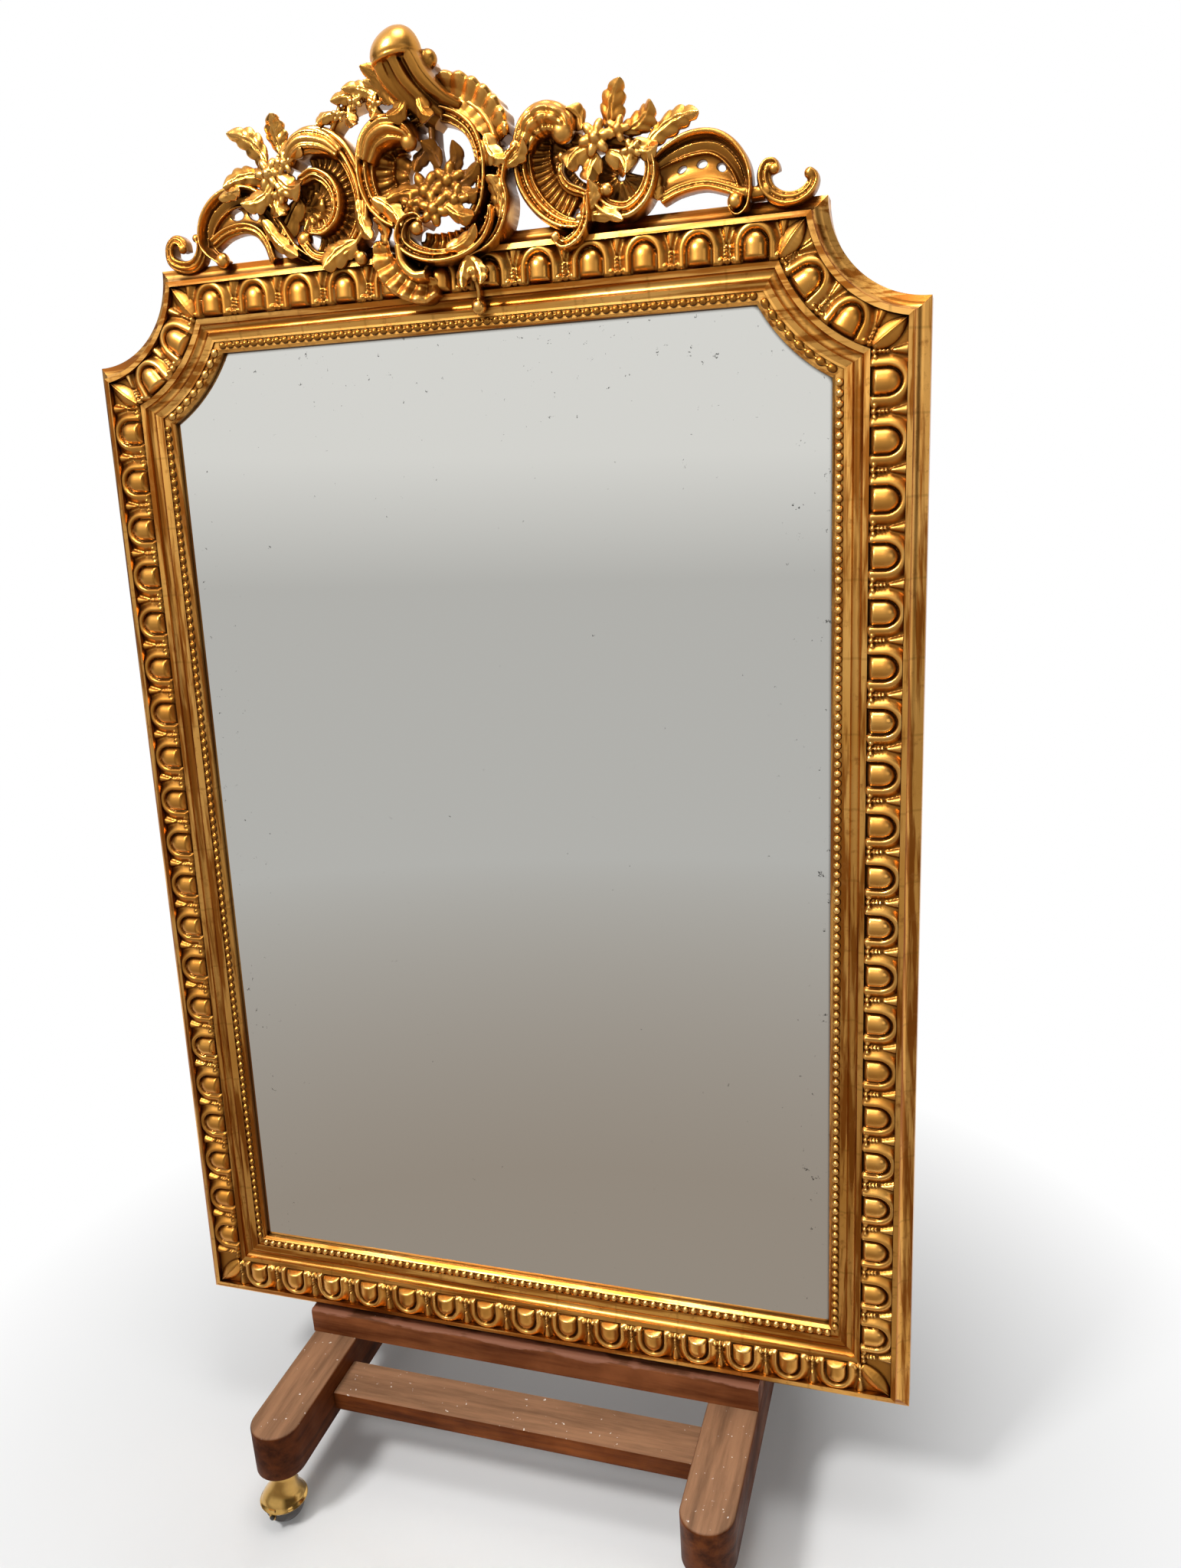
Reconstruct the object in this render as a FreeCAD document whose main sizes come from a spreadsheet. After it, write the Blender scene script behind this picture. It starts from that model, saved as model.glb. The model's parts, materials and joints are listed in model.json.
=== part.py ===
import FreeCAD, Part
import math
import os

import Sketcher
from FreeCAD import Placement, Rotation, Vector

# A gilt mirror with scooped upper corners and a pierced crest, standing on a castored wooden stand.
# The whole object stands on the floor: X to the right, Y to the back, Z up.
# The mirror's own pieces are drawn upright (X right, Y back, Z up from the frame's lower edge, the
# front at negative Y) and then leaned back on the stand by one shared placement.

doc = FreeCAD.newDocument("gilt_mirror_on_stand")

# Driving dimensions, in millimetres unless the name says otherwise
SIZES = {
    "frame_width": 1040,
    "frame_height": 1460,
    "scoop_radius": 108,
    "frame_back": 28,
    "outer_flat": 7,
    "outer_rise": 3.5,
    "fillet_outer": 16.5,
    "fillet_front": 18.5,
    "band_outer": 22.5,
    "band_inner": 62,
    "band_bed": 9,
    "inner_fillet": 68.5,
    "inner_fillet_front": 13,
    "hollow_end": 80.5,
    "hollow_front": 8.8,
    "pearl_outer": 89.5,
    "pearl_inner": 99,
    "pearl_bed": 5,
    "sight": 102.5,
    "rebate": 92,
    "rebate_depth": 4,
    "egg_pitch": 61.2,
    "pearl_pitch": 11.1,
    "plate_thick": 5,
    "plate_margin": 94,
    "board_front": 18,
    "board_thick": 8,
    "lean_slope": 0.0612,
    "lean_gap": 0.4,
    "mirror_y": -95,
    "stand_x": -10,
    "foot_span": 602,
    "foot_width": 70,
    "foot_height": 70,
    "foot_length": 620,
    "castor_height": 98,
    "castor_trail": 8,
    "castor_reach": 274,
    "ledge_height": 38,
    "ledge_width": 672,
    "ledge_front": 13.5,
    "stretcher_depth": 64,
    "stretcher_thick": 27,
    "stretcher_y": -154.5,
    "stretcher_base": 112.5,
    "tenon": 14,
    "post_width": 44,
    "post_depth": 46,
    "post_top": 1330,
    "brace_width": 36,
    "ball_radius": 28,
    "ball_half_width": 22,
    "axle_radius": 3,
    "running_gap": 0.05,
    "strap_width": 22,
}

sheet = doc.addObject("Spreadsheet::Sheet", "Sizes")
for row, (alias, amount) in enumerate(SIZES.items(), 1):
    sheet.set(f"A{row}", alias)
    sheet.set(f"B{row}", str(amount))
    sheet.setAlias(f"B{row}", alias)
doc.recompute()


def size(alias):
    """The number in one cell of the sheet."""
    return float(sheet.get(alias))


def value_of(expression):
    """The number that an expression on the sheet's cells gives."""
    return float(sheet.evalExpression(expression))


half_width = size("frame_width") / 2
frame_height = size("frame_height")
scoop = size("scoop_radius")
lean = math.degrees(math.atan(size("lean_slope")))
ledge_top = size("castor_height") + size("foot_height") + size("ledge_height")
mirror_z = ledge_top + size("frame_back") * math.sin(math.radians(lean)) + size("lean_gap")
LEANING = Placement(Vector(0, size("mirror_y"), mirror_z), Rotation(Vector(1, 0, 0), -lean))
pieces = []


def add_piece(label, shape, placement):
    """A sub-part whose solid was worked out from the sheet's values."""
    piece = doc.addObject("Part::Feature", label)
    piece.Label = label
    piece.Shape = shape
    piece.Placement = placement.multiply(shape.Placement)
    pieces.append(piece)
    return piece


def group(label, members):
    """A sub-part of several loose solids that are handled as one."""
    piece = doc.addObject("Part::Compound", label)
    piece.Label = label
    piece.Links = members
    pieces.append(piece)


def new_body(label):
    """An empty body that takes sketches and features."""
    body = doc.addObject("PartDesign::Body", label)
    body.Label = label
    pieces.append(body)
    return body


def origin_feature(body, role):
    """One of the body's own origin planes or axes."""
    return [feature for feature in body.Origin.OriginFeatures if feature.Role == role][0]


HALF_CIRCLE = 1.99


def draw_outline(body, name, plane, corners):
    """A closed outline. A corner is two expressions; four mean that an arc leaves it through a point."""
    sketch = body.newObject("Sketcher::SketchObject", name)
    sketch.AttachmentSupport = (origin_feature(body, plane), "")
    sketch.MapMode = "FlatFace"
    places = [Vector(value_of(corner[0]), value_of(corner[1]), 0) for corner in corners]
    ends = []
    for index, corner in enumerate(corners):
        start = places[index]
        finish = places[(index + 1) % len(corners)]
        line = Part.LineSegment(start, finish)
        forward = True
        if len(corner) == 4:
            through = Vector(value_of(corner[2]), value_of(corner[3]), 0)
            forward = (through - start).cross(finish - through).z > 0
            line = Part.Arc(start, through, finish) if forward else Part.Arc(finish, through, start)
        sketch.addGeometry(line, False)
        ends.append((1, 2) if forward else (2, 1))
        if len(corner) == 4:
            radius = sketch.Geometry[index].Radius
            if (finish - start).Length < HALF_CIRCLE * radius:
                sketch.addConstraint(Sketcher.Constraint("Radius", index, radius))
    for index in range(len(corners)):
        after = (index + 1) % len(corners)
        meeting = Sketcher.Constraint("Coincident", index, ends[index][1], after, ends[after][0])
        sketch.addConstraint(meeting)
    for index, corner in enumerate(corners):
        for kind, text, amount in zip(("DistanceX", "DistanceY"), corner, places[index]):
            number = sketch.addConstraint(Sketcher.Constraint(kind, -1, 1, index, ends[index][0], amount))
            sketch.setExpression(f"Constraints[{number}]", text)
    return sketch


def pad(body, sketch, length, side="One side"):
    """Extrudes an outline by an expression's length."""
    feature = body.newObject("PartDesign::Pad", sketch.Name + "_pad")
    feature.Profile = sketch
    feature.SideType = side
    feature.setExpression("Length", length)
    return feature


def block(body, kind, name, lengths, corner):
    """An additive or subtractive box from expressions for its three sides and its low corner."""
    feature = body.newObject("PartDesign::" + kind, name)
    for side, text in zip(("Length", "Width", "Height"), lengths):
        feature.setExpression(side, text)
    for axis, text in zip("xyz", corner):
        feature.setExpression("Placement.Base." + axis, text)
    return feature


def place(body, **axes):
    """Binds a body's place to expressions."""
    for axis, text in axes.items():
        body.setExpression("Placement.Base." + axis, text)


def turned(profile, start, axis, degrees):
    """A face turned about an axis."""
    return Part.Face(Part.Wire(Part.__sortEdges__(profile))).revolve(start, axis, degrees)


def chain(points):
    """Edges through a list of points; a tuple of two points is an arc through the first to the second."""
    edges = []
    here = points[0]
    for step in points[1:]:
        if isinstance(step, tuple):
            edges.append(Part.Arc(here, step[0], step[1]).toShape())
            here = step[1]
        else:
            edges.append(Part.LineSegment(here, step).toShape())
            here = step
    edges.append(Part.LineSegment(here, points[0]).toShape())
    return edges


# The frame: a gilt moulding in six lengths, mitred together
def moulding_section():
    """Section of a rail: offset from the frame's outer edge along X, depth along Y."""
    back = size("frame_back")
    cove_start = Vector(size("outer_flat"), -size("outer_rise"))
    cove_end = Vector(size("fillet_outer"), -size("fillet_front"))
    cove_middle = Vector(
        cove_start.x + 0.71 * (cove_end.x - cove_start.x),
        cove_end.y - 0.71 * (cove_end.y - cove_start.y),
    )
    hollow_start = Vector(size("inner_fillet"), -size("inner_fillet_front") + 0.8)
    hollow_end = Vector(size("hollow_end"), -size("hollow_front"))
    hollow_middle = Vector(hollow_start.x + 4.6, -6.2)
    step = size("pearl_bed") + 2
    return chain([
        Vector(0, back),
        Vector(0, 0),
        cove_start,
        (cove_middle, cove_end),
        Vector(size("band_outer"), -size("fillet_front") - 0.5),
        Vector(size("band_outer"), -size("band_bed")),
        Vector(size("band_inner"), -size("band_bed")),
        Vector(size("band_inner"), -size("inner_fillet_front")),
        hollow_start,
        (hollow_middle, hollow_end),
        Vector(size("pearl_outer") - 2.5, -step),
        Vector(size("pearl_outer"), -step),
        Vector(size("pearl_outer"), -size("pearl_bed")),
        Vector(size("pearl_inner"), -size("pearl_bed")),
        Vector(size("sight"), -1.5),
        Vector(size("sight"), size("rebate_depth")),
        Vector(size("rebate"), size("rebate_depth")),
        Vector(size("rebate"), back),
    ])


def band_section():
    """Section of the thin bed that carries the eggs and darts."""
    outer, inner, bed = size("band_outer"), size("band_inner"), size("band_bed")
    return chain([
        Vector(outer, -bed),
        Vector(outer, -bed - BED_THICK),
        Vector(inner, -bed - BED_THICK),
        Vector(inner, -bed),
    ])


BED_THICK = 2
CUT_REACH = 150
CUT_DEPTH = 80


def scoop_mitre(flipped):
    """Curve where a straight rail meets the scoop: equal offsets meet on a parabola round the corner.

    Unflipped, it joins the left stile; flipped, the top rail.
    """
    along = Vector(0, 0, -1) if flipped else Vector(1, 0, 0)
    across = Vector(1, 0, 0) if flipped else Vector(0, 0, -1)
    curve = Part.Parabola()
    curve.Focal = scoop / 2
    curve.Location = Vector(-scoop / 2, 0, 0)
    near = math.sqrt(scoop**2 - 2 * scoop)
    far = math.sqrt(scoop**2 + 2 * scoop * CUT_REACH)
    edge = Part.ArcOfParabola(curve, near, far).toShape()
    corner = Vector(-half_width, 0, frame_height)
    edge.Placement = Placement(corner, Rotation(along, across, along.cross(across), "XYZ"))
    return edge


def prism(edges):
    """A flat outline in the mirror's plane, pushed through the frame's whole depth."""
    face = Part.Face(Part.Wire(Part.__sortEdges__(edges)))
    face.translate(Vector(0, -CUT_DEPTH, 0))
    return face.extrude(Vector(0, 2 * CUT_DEPTH, 0))


def join_ends(first, second):
    """A straight edge between the nearest free ends of two edges."""
    return Part.LineSegment(first, second).toShape()


def far_end(edge):
    """The end of a mitre curve that lies inside the frame."""
    corner = Vector(-half_width, 0, frame_height)
    return max((vertex.Point for vertex in edge.Vertexes), key=lambda point: (point - corner).Length)


def near_end(edge):
    """The end of a mitre curve just outside the frame's edge."""
    corner = Vector(-half_width, 0, frame_height)
    return min((vertex.Point for vertex in edge.Vertexes), key=lambda point: (point - corner).Length)


stile_mitre = scoop_mitre(False)
rail_mitre = scoop_mitre(True)
low_corner = Vector(-half_width, 0, 0)
low_inside = low_corner + Vector(CUT_REACH, 0, CUT_REACH)


def mirrored(shape):
    """The same shape on the other side of the mirror's centre line."""
    return shape.mirror(Vector(0, 0, 0), Vector(1, 0, 0))


def stile_region():
    """Where the left stile runs, between its two mitres."""
    return prism([
        stile_mitre,
        join_ends(far_end(stile_mitre), low_inside),
        join_ends(low_inside, low_corner),
        join_ends(low_corner, near_end(stile_mitre)),
    ])


def scoop_region():
    """Where the left scoop runs, between its two mitres."""
    outside = Vector(-half_width, 0, frame_height)
    return prism([
        stile_mitre,
        join_ends(far_end(stile_mitre), far_end(rail_mitre)),
        rail_mitre,
        join_ends(near_end(rail_mitre), outside),
        join_ends(outside, near_end(stile_mitre)),
    ])


def top_region():
    """Where the top rail runs."""
    other = rail_mitre.mirror(Vector(0, 0, 0), Vector(1, 0, 0))
    across = [Vector(-point.x, 0, point.z) for point in (far_end(rail_mitre), near_end(rail_mitre))]
    return prism([
        rail_mitre,
        join_ends(far_end(rail_mitre), across[0]),
        other,
        join_ends(across[1], near_end(rail_mitre)),
    ])


def bottom_region():
    """Where the bottom rail runs."""
    outline = [
        low_corner,
        low_inside,
        Vector(-low_inside.x, 0, low_inside.z),
        Vector(-low_corner.x, 0, low_corner.z),
    ]
    return prism([join_ends(outline[i], outline[(i + 1) % 4]) for i in range(4)])


def stick(section):
    """A long straight length of a section, standing upright."""
    face = Part.Face(Part.Wire(Part.__sortEdges__(section)))
    return face.extrude(Vector(0, 0, frame_height + 2 * CUT_REACH))


def run_left(section):
    """The section as a left stile, cut to its mitres."""
    length = stick(section)
    length.translate(Vector(-half_width, 0, -CUT_REACH))
    return length.common(stile_region())


def run_bottom(section):
    """The section as the bottom rail."""
    length = stick(section)
    length.translate(Vector(0, 0, -frame_height / 2 - CUT_REACH))
    length.rotate(Vector(0, 0, 0), Vector(0, 1, 0), -90)
    return length.common(bottom_region())


def run_top(section):
    """The section as the top rail."""
    length = stick(section)
    length.translate(Vector(0, 0, -frame_height / 2 - CUT_REACH))
    length.rotate(Vector(0, 0, 0), Vector(0, 1, 0), 90)
    length.translate(Vector(0, 0, frame_height))
    return length.common(top_region())


def run_scoop(section):
    """The section turned round the upper left corner as the hollow scoop."""
    face = Part.Face(Part.Wire(Part.__sortEdges__(section)))
    face.translate(Vector(scoop - half_width, 0, frame_height))
    corner = Vector(-half_width, 0, frame_height)
    ring = face.revolve(corner, Vector(0, 1, 0), 90)
    return ring.common(scoop_region())


def one_solid(shape):
    """The single solid of a boolean's result."""
    solids = shape.Solids
    if len(solids) > 1:
        solids.sort(key=lambda solid: solid.BoundBox.DiagonalLength)
    return solids[-1]


def six_runs(section):
    """The six mitred lengths of one section, by place."""
    left = one_solid(run_left(section))
    corner = one_solid(run_scoop(section))
    return {
        "left": left,
        "right": mirrored(left),
        "bottom": one_solid(run_bottom(section)),
        "top": one_solid(run_top(section)),
        "left_scoop": corner,
        "right_scoop": mirrored(corner),
    }


RAIL_NAMES = {
    "left": "frame_left_stile",
    "right": "frame_right_stile",
    "bottom": "frame_bottom_rail",
    "top": "frame_top_rail",
    "left_scoop": "frame_left_scoop",
    "right_scoop": "frame_right_scoop",
}
rails = six_runs(moulding_section())

# Hanging plates on the backs of the stiles, each over a shallow hole for the hook's head
HANGER_IN = 46
HANGER_UP = 1120
HANGER_WIDTH = 30
HANGER_LENGTH = 90
HANGER_THICK = 3
HANGER_BORE = 5
HOOK_ROOM = 9
hangers = []
for side in ("left", "right"):
    across = (HANGER_IN - half_width) * (1 if side == "left" else -1)
    eye = Vector(across, size("frame_back"), HANGER_UP)
    room = Part.makeCylinder(HOOK_ROOM, HOOK_ROOM, eye - Vector(0, HOOK_ROOM, 0), Vector(0, 1, 0))
    rails[side] = rails[side].cut(room)
    low = eye - Vector(HANGER_WIDTH / 2, 0, HANGER_LENGTH * 0.7)
    strip = Part.makeBox(HANGER_WIDTH, HANGER_THICK, HANGER_LENGTH, low)
    corners = [edge for edge in strip.Edges if abs(edge.tangentAt(edge.FirstParameter).y) > 0.9]
    strip = strip.makeFillet(HANGER_WIDTH * 0.3, corners)
    hangers.append(strip.cut(Part.makeCylinder(HANGER_BORE, HANGER_THICK, eye, Vector(0, 1, 0))))

for side, label in RAIL_NAMES.items():
    add_piece(label, rails[side], LEANING)
add_piece("hanging_plates", Part.makeCompound(hangers), LEANING)

# Egg and dart: eggs with a raised rim open towards the glass, and a dart between each pair
EGG_END = 59
EGG_HALF = 13.2
EGG_AXIS = 9.5
RIM_OUTER = 20.5
RIM_INNER = 15.5
RIM_CENTRE = 44
RIM_FRONT = 15.5
DART_OUTER = 25
DART_INNER = 59
DART_OUTER_HALF = 6.5
DART_INNER_HALF = 3.2
STILE_EGGS = 20
STILE_FIRST = 105
BOTTOM_EGGS = 15
TOP_EGGS = 12
SCOOP_EGGS = 2


def egg_solid():
    """One egg, squared towards the glass and round outwards: offset along X, front at negative Y."""
    tip = RIM_CENTRE - EGG_HALF
    outline = chain([
        Vector(EGG_END, -EGG_AXIS, 0),
        Vector(EGG_END, -EGG_AXIS, EGG_HALF * 0.86),
        (Vector(EGG_END - 8, -EGG_AXIS, EGG_HALF), Vector(RIM_CENTRE, -EGG_AXIS, EGG_HALF)),
        (
            Vector(RIM_CENTRE - EGG_HALF * 0.71, -EGG_AXIS, EGG_HALF * 0.71),
            Vector(tip, -EGG_AXIS, 0),
        ),
    ])
    return turned(outline, Vector(0, -EGG_AXIS, 0), Vector(1, 0, 0), 180)


def rim_solid():
    """The raised rim round one egg, a U open towards the glass."""
    floor = -size("band_bed") - BED_THICK / 2
    reach = EGG_END + 1.5

    def arch(radius):
        return [
            Vector(reach, floor, -radius),
            Vector(RIM_CENTRE, floor, -radius),
            (Vector(RIM_CENTRE - radius, floor, 0), Vector(RIM_CENTRE, floor, radius)),
            Vector(reach, floor, radius),
        ]

    height = Vector(0, -RIM_FRONT - floor, 0)
    full = Part.Face(Part.Wire(Part.__sortEdges__(chain(arch(RIM_OUTER))))).extrude(height)
    hole = Part.Face(Part.Wire(Part.__sortEdges__(chain(arch(RIM_INNER))))).extrude(height)
    return full.cut(hole)


def dart_solid():
    """One dart, broad at the outside and pointed towards the glass."""
    outline = chain([
        Vector(DART_OUTER, -EGG_AXIS, 0),
        Vector(DART_OUTER, -EGG_AXIS, DART_OUTER_HALF),
        Vector(DART_INNER, -EGG_AXIS, DART_INNER_HALF),
        Vector(DART_INNER, -EGG_AXIS, 0),
    ])
    return turned(outline, Vector(0, -EGG_AXIS, 0), Vector(1, 0, 0), 180)


def at_left(shape, along):
    """A motif moved to its place on the left stile."""
    copy = shape.copy()
    copy.translate(Vector(-half_width, 0, along))
    return copy


def at_bottom(shape, along):
    """A motif moved to its place on the bottom rail."""
    copy = shape.copy()
    copy.rotate(Vector(0, 0, 0), Vector(0, 1, 0), -90)
    copy.translate(Vector(along, 0, 0))
    return copy


def at_top(shape, along):
    """A motif moved to its place on the top rail."""
    copy = shape.copy()
    copy.rotate(Vector(0, 0, 0), Vector(0, 1, 0), 90)
    copy.translate(Vector(along, 0, frame_height))
    return copy


def at_scoop(shape, degrees):
    """A motif moved round the left scoop; 0 points along the top rail, 90 down the stile."""
    copy = shape.copy()
    copy.translate(Vector(scoop, 0, 0))
    copy.rotate(Vector(0, 0, 0), Vector(0, 1, 0), degrees)
    copy.translate(Vector(-half_width, 0, frame_height))
    return copy


def carved_band(bed, set_motif, centres, gaps):
    """The bed with its eggs, rims and darts fused on."""
    motifs = [set_motif(egg, centre) for centre in centres]
    motifs += [set_motif(rim, centre) for centre in centres]
    motifs += [set_motif(dart, gap) for gap in gaps]
    return one_solid(bed.multiFuse(motifs))


def spread(count, pitch, middle=0):
    """Evenly spaced centres about a middle."""
    return [middle + (index - (count - 1) / 2) * pitch for index in range(count)]


egg = egg_solid()
rim = rim_solid()
dart = dart_solid()
pitch = size("egg_pitch")
beds = six_runs(band_section())
stile_middle = STILE_FIRST + (STILE_EGGS - 1) * pitch / 2
scoop_step = math.degrees(pitch / (scoop + RIM_CENTRE))
bands = {
    "left": carved_band(
        beds["left"], at_left, spread(STILE_EGGS, pitch, stile_middle), spread(STILE_EGGS - 1, pitch, stile_middle)
    ),
    "bottom": carved_band(beds["bottom"], at_bottom, spread(BOTTOM_EGGS, pitch), spread(BOTTOM_EGGS - 1, pitch)),
    "top": carved_band(beds["top"], at_top, spread(TOP_EGGS, pitch), spread(TOP_EGGS - 1, pitch)),
    "left_scoop": carved_band(beds["left_scoop"], at_scoop, spread(SCOOP_EGGS, scoop_step, 45), [45]),
}
bands["right"] = mirrored(bands["left"])
bands["right_scoop"] = mirrored(bands["left_scoop"])
for side, shape in bands.items():
    add_piece("egg_and_dart_" + side, shape, LEANING)

# Pearl strings: half-round beads on a thin thread, one length on each rail
PEARL_RADIUS = 4.6
THREAD_RADIUS = 1.6
pearl_line = (size("pearl_outer") + size("pearl_inner")) / 2
pearl_pitch = size("pearl_pitch")


def pearl_string(count):
    """A straight string of half pearls along Z, centred on the origin, its flat back at Y = 0."""
    reach = math.sqrt(PEARL_RADIUS**2 - THREAD_RADIUS**2)
    points = [Vector(0, 0, -count * pearl_pitch / 2), Vector(THREAD_RADIUS, 0, -count * pearl_pitch / 2)]
    for middle in spread(count, pearl_pitch):
        points.append(Vector(THREAD_RADIUS, 0, middle - reach))
        crown = Vector(PEARL_RADIUS, 0, middle)
        points.append((crown, Vector(THREAD_RADIUS, 0, middle + reach)))
    points.append(Vector(THREAD_RADIUS, 0, count * pearl_pitch / 2))
    points.append(Vector(0, 0, count * pearl_pitch / 2))
    string = turned(chain(points), Vector(0, 0, 0), Vector(0, 0, 1), -180)
    string.translate(Vector(pearl_line, -size("pearl_bed"), 0))
    return string


def scoop_pearls(count):
    """The short curved string on the left scoop."""
    step = pearl_pitch / (scoop + pearl_line)
    thread = Part.Face(Part.Wire(Part.__sortEdges__(chain([
        Vector(scoop + pearl_line - THREAD_RADIUS, 0, 0),
        (Vector(scoop + pearl_line, -THREAD_RADIUS, 0), Vector(scoop + pearl_line + THREAD_RADIUS, 0, 0)),
    ]))))
    sweep = math.degrees(count * step)
    thread.rotate(Vector(0, 0, 0), Vector(0, 1, 0), 45 - sweep / 2)
    string = thread.revolve(Vector(0, 0, 0), Vector(0, 1, 0), sweep)
    beads = []
    for angle in spread(count, math.degrees(step), 45):
        bead = Part.makeSphere(PEARL_RADIUS, Vector(0, 0, 0), Vector(0, -1, 0), 0, 90, 360)
        bead.translate(Vector(scoop + pearl_line, 0, 0))
        bead.rotate(Vector(0, 0, 0), Vector(0, 1, 0), angle)
        beads.append(bead)
    string = one_solid(string.multiFuse(beads))
    string.translate(Vector(-half_width, -size("pearl_bed"), frame_height))
    return string


upper_reach = math.sqrt(scoop**2 + 2 * scoop * pearl_line)
stile_run = frame_height - upper_reach - pearl_line
stile_pearls = int(stile_run / pearl_pitch) - 1
bottom_pearls = int((2 * half_width - 2 * pearl_line) / pearl_pitch) - 1
top_pearls = int((2 * half_width - 2 * upper_reach) / pearl_pitch) - 1
SCOOP_PEARLS = 10
pearls = {
    "left": at_left(pearl_string(stile_pearls), pearl_line + stile_run / 2),
    "bottom": at_bottom(pearl_string(bottom_pearls), 0),
    "top": at_top(pearl_string(top_pearls), 0),
    "left_scoop": scoop_pearls(SCOOP_PEARLS),
}
pearls["right"] = mirrored(pearls["left"])
pearls["right_scoop"] = mirrored(pearls["left_scoop"])
for side, shape in pearls.items():
    add_piece("pearl_string_" + side, one_solid(shape), LEANING)


# Mirror plate, the wood blocks that wedge it in the rebate, and the back board
def scooped_sheet(label, margin, front, thick):
    """A flat sheet with the frame's outline, a margin inside its outer edge. The sizes are expressions."""
    body = new_body(label)
    middle = "Sizes.frame_width / 2"
    high = "Sizes.frame_height"
    radius = f"(Sizes.scoop_radius + {margin})"
    reach = f"sqrt({radius} ^ 2 - {margin} ^ 2)"
    turn = f"{radius} / sqrt(2)"
    outline = draw_outline(body, label + "_outline", "XZ_Plane", [
        (f"{margin} - {middle}", margin),
        (f"{middle} - {margin}", margin),
        (f"{middle} - {margin}", f"{high} - {reach}", f"{middle} - {turn}", f"{high} - {turn}"),
        (f"{middle} - {reach}", f"{high} - {margin}"),
        (f"{reach} - {middle}", f"{high} - {margin}", f"{turn} - {middle}", f"{high} - {turn}"),
        (f"{margin} - {middle}", f"{high} - {reach}"),
    ])
    pad(body, outline, thick)
    behind = Vector(0, value_of(front) + value_of(thick), 0)
    body.Placement = LEANING.multiply(Placement(behind, Rotation()))


scooped_sheet("mirror_plate", "Sizes.plate_margin", "Sizes.rebate_depth", "Sizes.plate_thick")
scooped_sheet("back_board", "(Sizes.rebate + 1)", "Sizes.board_front", "Sizes.board_thick")
BLOCK_LENGTH = 45
BLOCK_DEPTH = 14
plate_back = size("rebate_depth") + size("plate_thick")
blocks = []


def glass_block(wide, high, across, up):
    """One wooden block between the plate's edge and the back board."""
    wedge = doc.addObject("Part::Box", f"glass_block_{len(blocks) + 1}")
    wedge.Length = wide
    wedge.Height = high
    wedge.setExpression("Width", "Sizes.board_front - Sizes.rebate_depth - Sizes.plate_thick")
    wedge.Placement = LEANING.multiply(Placement(Vector(across, plate_back, up), Rotation()))
    blocks.append(wedge)


block_edge = half_width - size("rebate")
for up in (260, 640, 1020):
    glass_block(BLOCK_DEPTH, BLOCK_LENGTH, -block_edge, up)
    glass_block(BLOCK_DEPTH, BLOCK_LENGTH, block_edge - BLOCK_DEPTH, up)
for across in (-234, 0, 234):
    for up in (size("rebate"), frame_height - size("rebate") - BLOCK_DEPTH):
        glass_block(BLOCK_LENGTH, BLOCK_DEPTH, across - BLOCK_LENGTH / 2, up)
group("glass_blocks", blocks)


# The crest: carved scrolls, leaves and a shell. Its points are (across, up) from the top edge's middle.
CREST_BACK = 4
SECTIONS_PER_SPAN = 2


def ribbon(path, widths, fronts, back=CREST_BACK):
    """A carved scroll: a rounded bar that follows a curve, with a width and a front at each point."""
    curve = Part.BSplineCurve()
    curve.interpolate([Vector(across, 0, frame_height + up) for across, up in path])
    knots = curve.getKnots()
    wires = []
    for span in range(len(knots) - 1):
        steps = SECTIONS_PER_SPAN + (1 if span == len(knots) - 2 else 0)
        for step in range(steps):
            share = step / SECTIONS_PER_SPAN
            here = knots[span] + (knots[span + 1] - knots[span]) * share
            half = (widths[span] * (1 - share) + widths[span + 1] * share) / 2
            front = -(fronts[span] * (1 - share) + fronts[span + 1] * share)
            centre = curve.value(here)
            tangent = curve.tangent(here)[0]
            side = tangent.cross(Vector(0, 1, 0)).normalize() * half
            shoulder = min(front + half * 0.9, back - 1)
            low = [centre - side + Vector(0, depth, 0) for depth in (back, shoulder)]
            high = [centre + side + Vector(0, depth, 0) for depth in (shoulder, back)]
            crown = centre + Vector(0, front, 0)
            wires.append(Part.Wire(Part.__sortEdges__(chain([low[0], low[1], (crown, high[0]), high[1]]))))
    return Part.makeLoft(wires, True, False)


def even(amount, path):
    """The same amount at every point of a path."""
    return [amount] * len(path)


def swelling(path, least, most):
    """Widths that swell from both ends to the middle."""
    last = len(path) - 1
    return [least + (most - least) * math.sin(math.pi * index / last) for index in range(len(path))]


def knob(across, up, radius, depth):
    """The round eye of a volute, a ball sunk in the carving."""
    return Part.makeSphere(radius, Vector(across, -depth, frame_height + up))


def leaf(base, tip, width, bend=0.12, front=16):
    """A pointed leaf from its base to its tip, bowed to one side."""
    run = (tip[0] - base[0], tip[1] - base[1])
    path = []
    for share in (0, 0.35, 0.7, 1):
        bow = bend * math.sin(math.pi * share)
        path.append((base[0] + run[0] * share - run[1] * bow, base[1] + run[1] * share + run[0] * bow))
    return ribbon(path, [width * 0.45, width, width * 0.8, 2.5], [front, front, front - 3, front - 7], -front + 9)


def joined(solids):
    """Carved parts of one block of wood."""
    return one_solid(solids[0].multiFuse(solids[1:]))


carved = []


def carve(label, solids):
    """Joins a carving, lets it sit on the frame and beside what is already carved, and adds it."""
    shape = joined(solids)
    around = [rails["top"], bands["top"], pearls["top"]] + carved
    for neighbour in around:
        if shape.BoundBox.intersect(neighbour.BoundBox):
            shape = one_solid(shape.cut(neighbour))
    carved.append(shape)
    add_piece(label, shape, LEANING)


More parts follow.
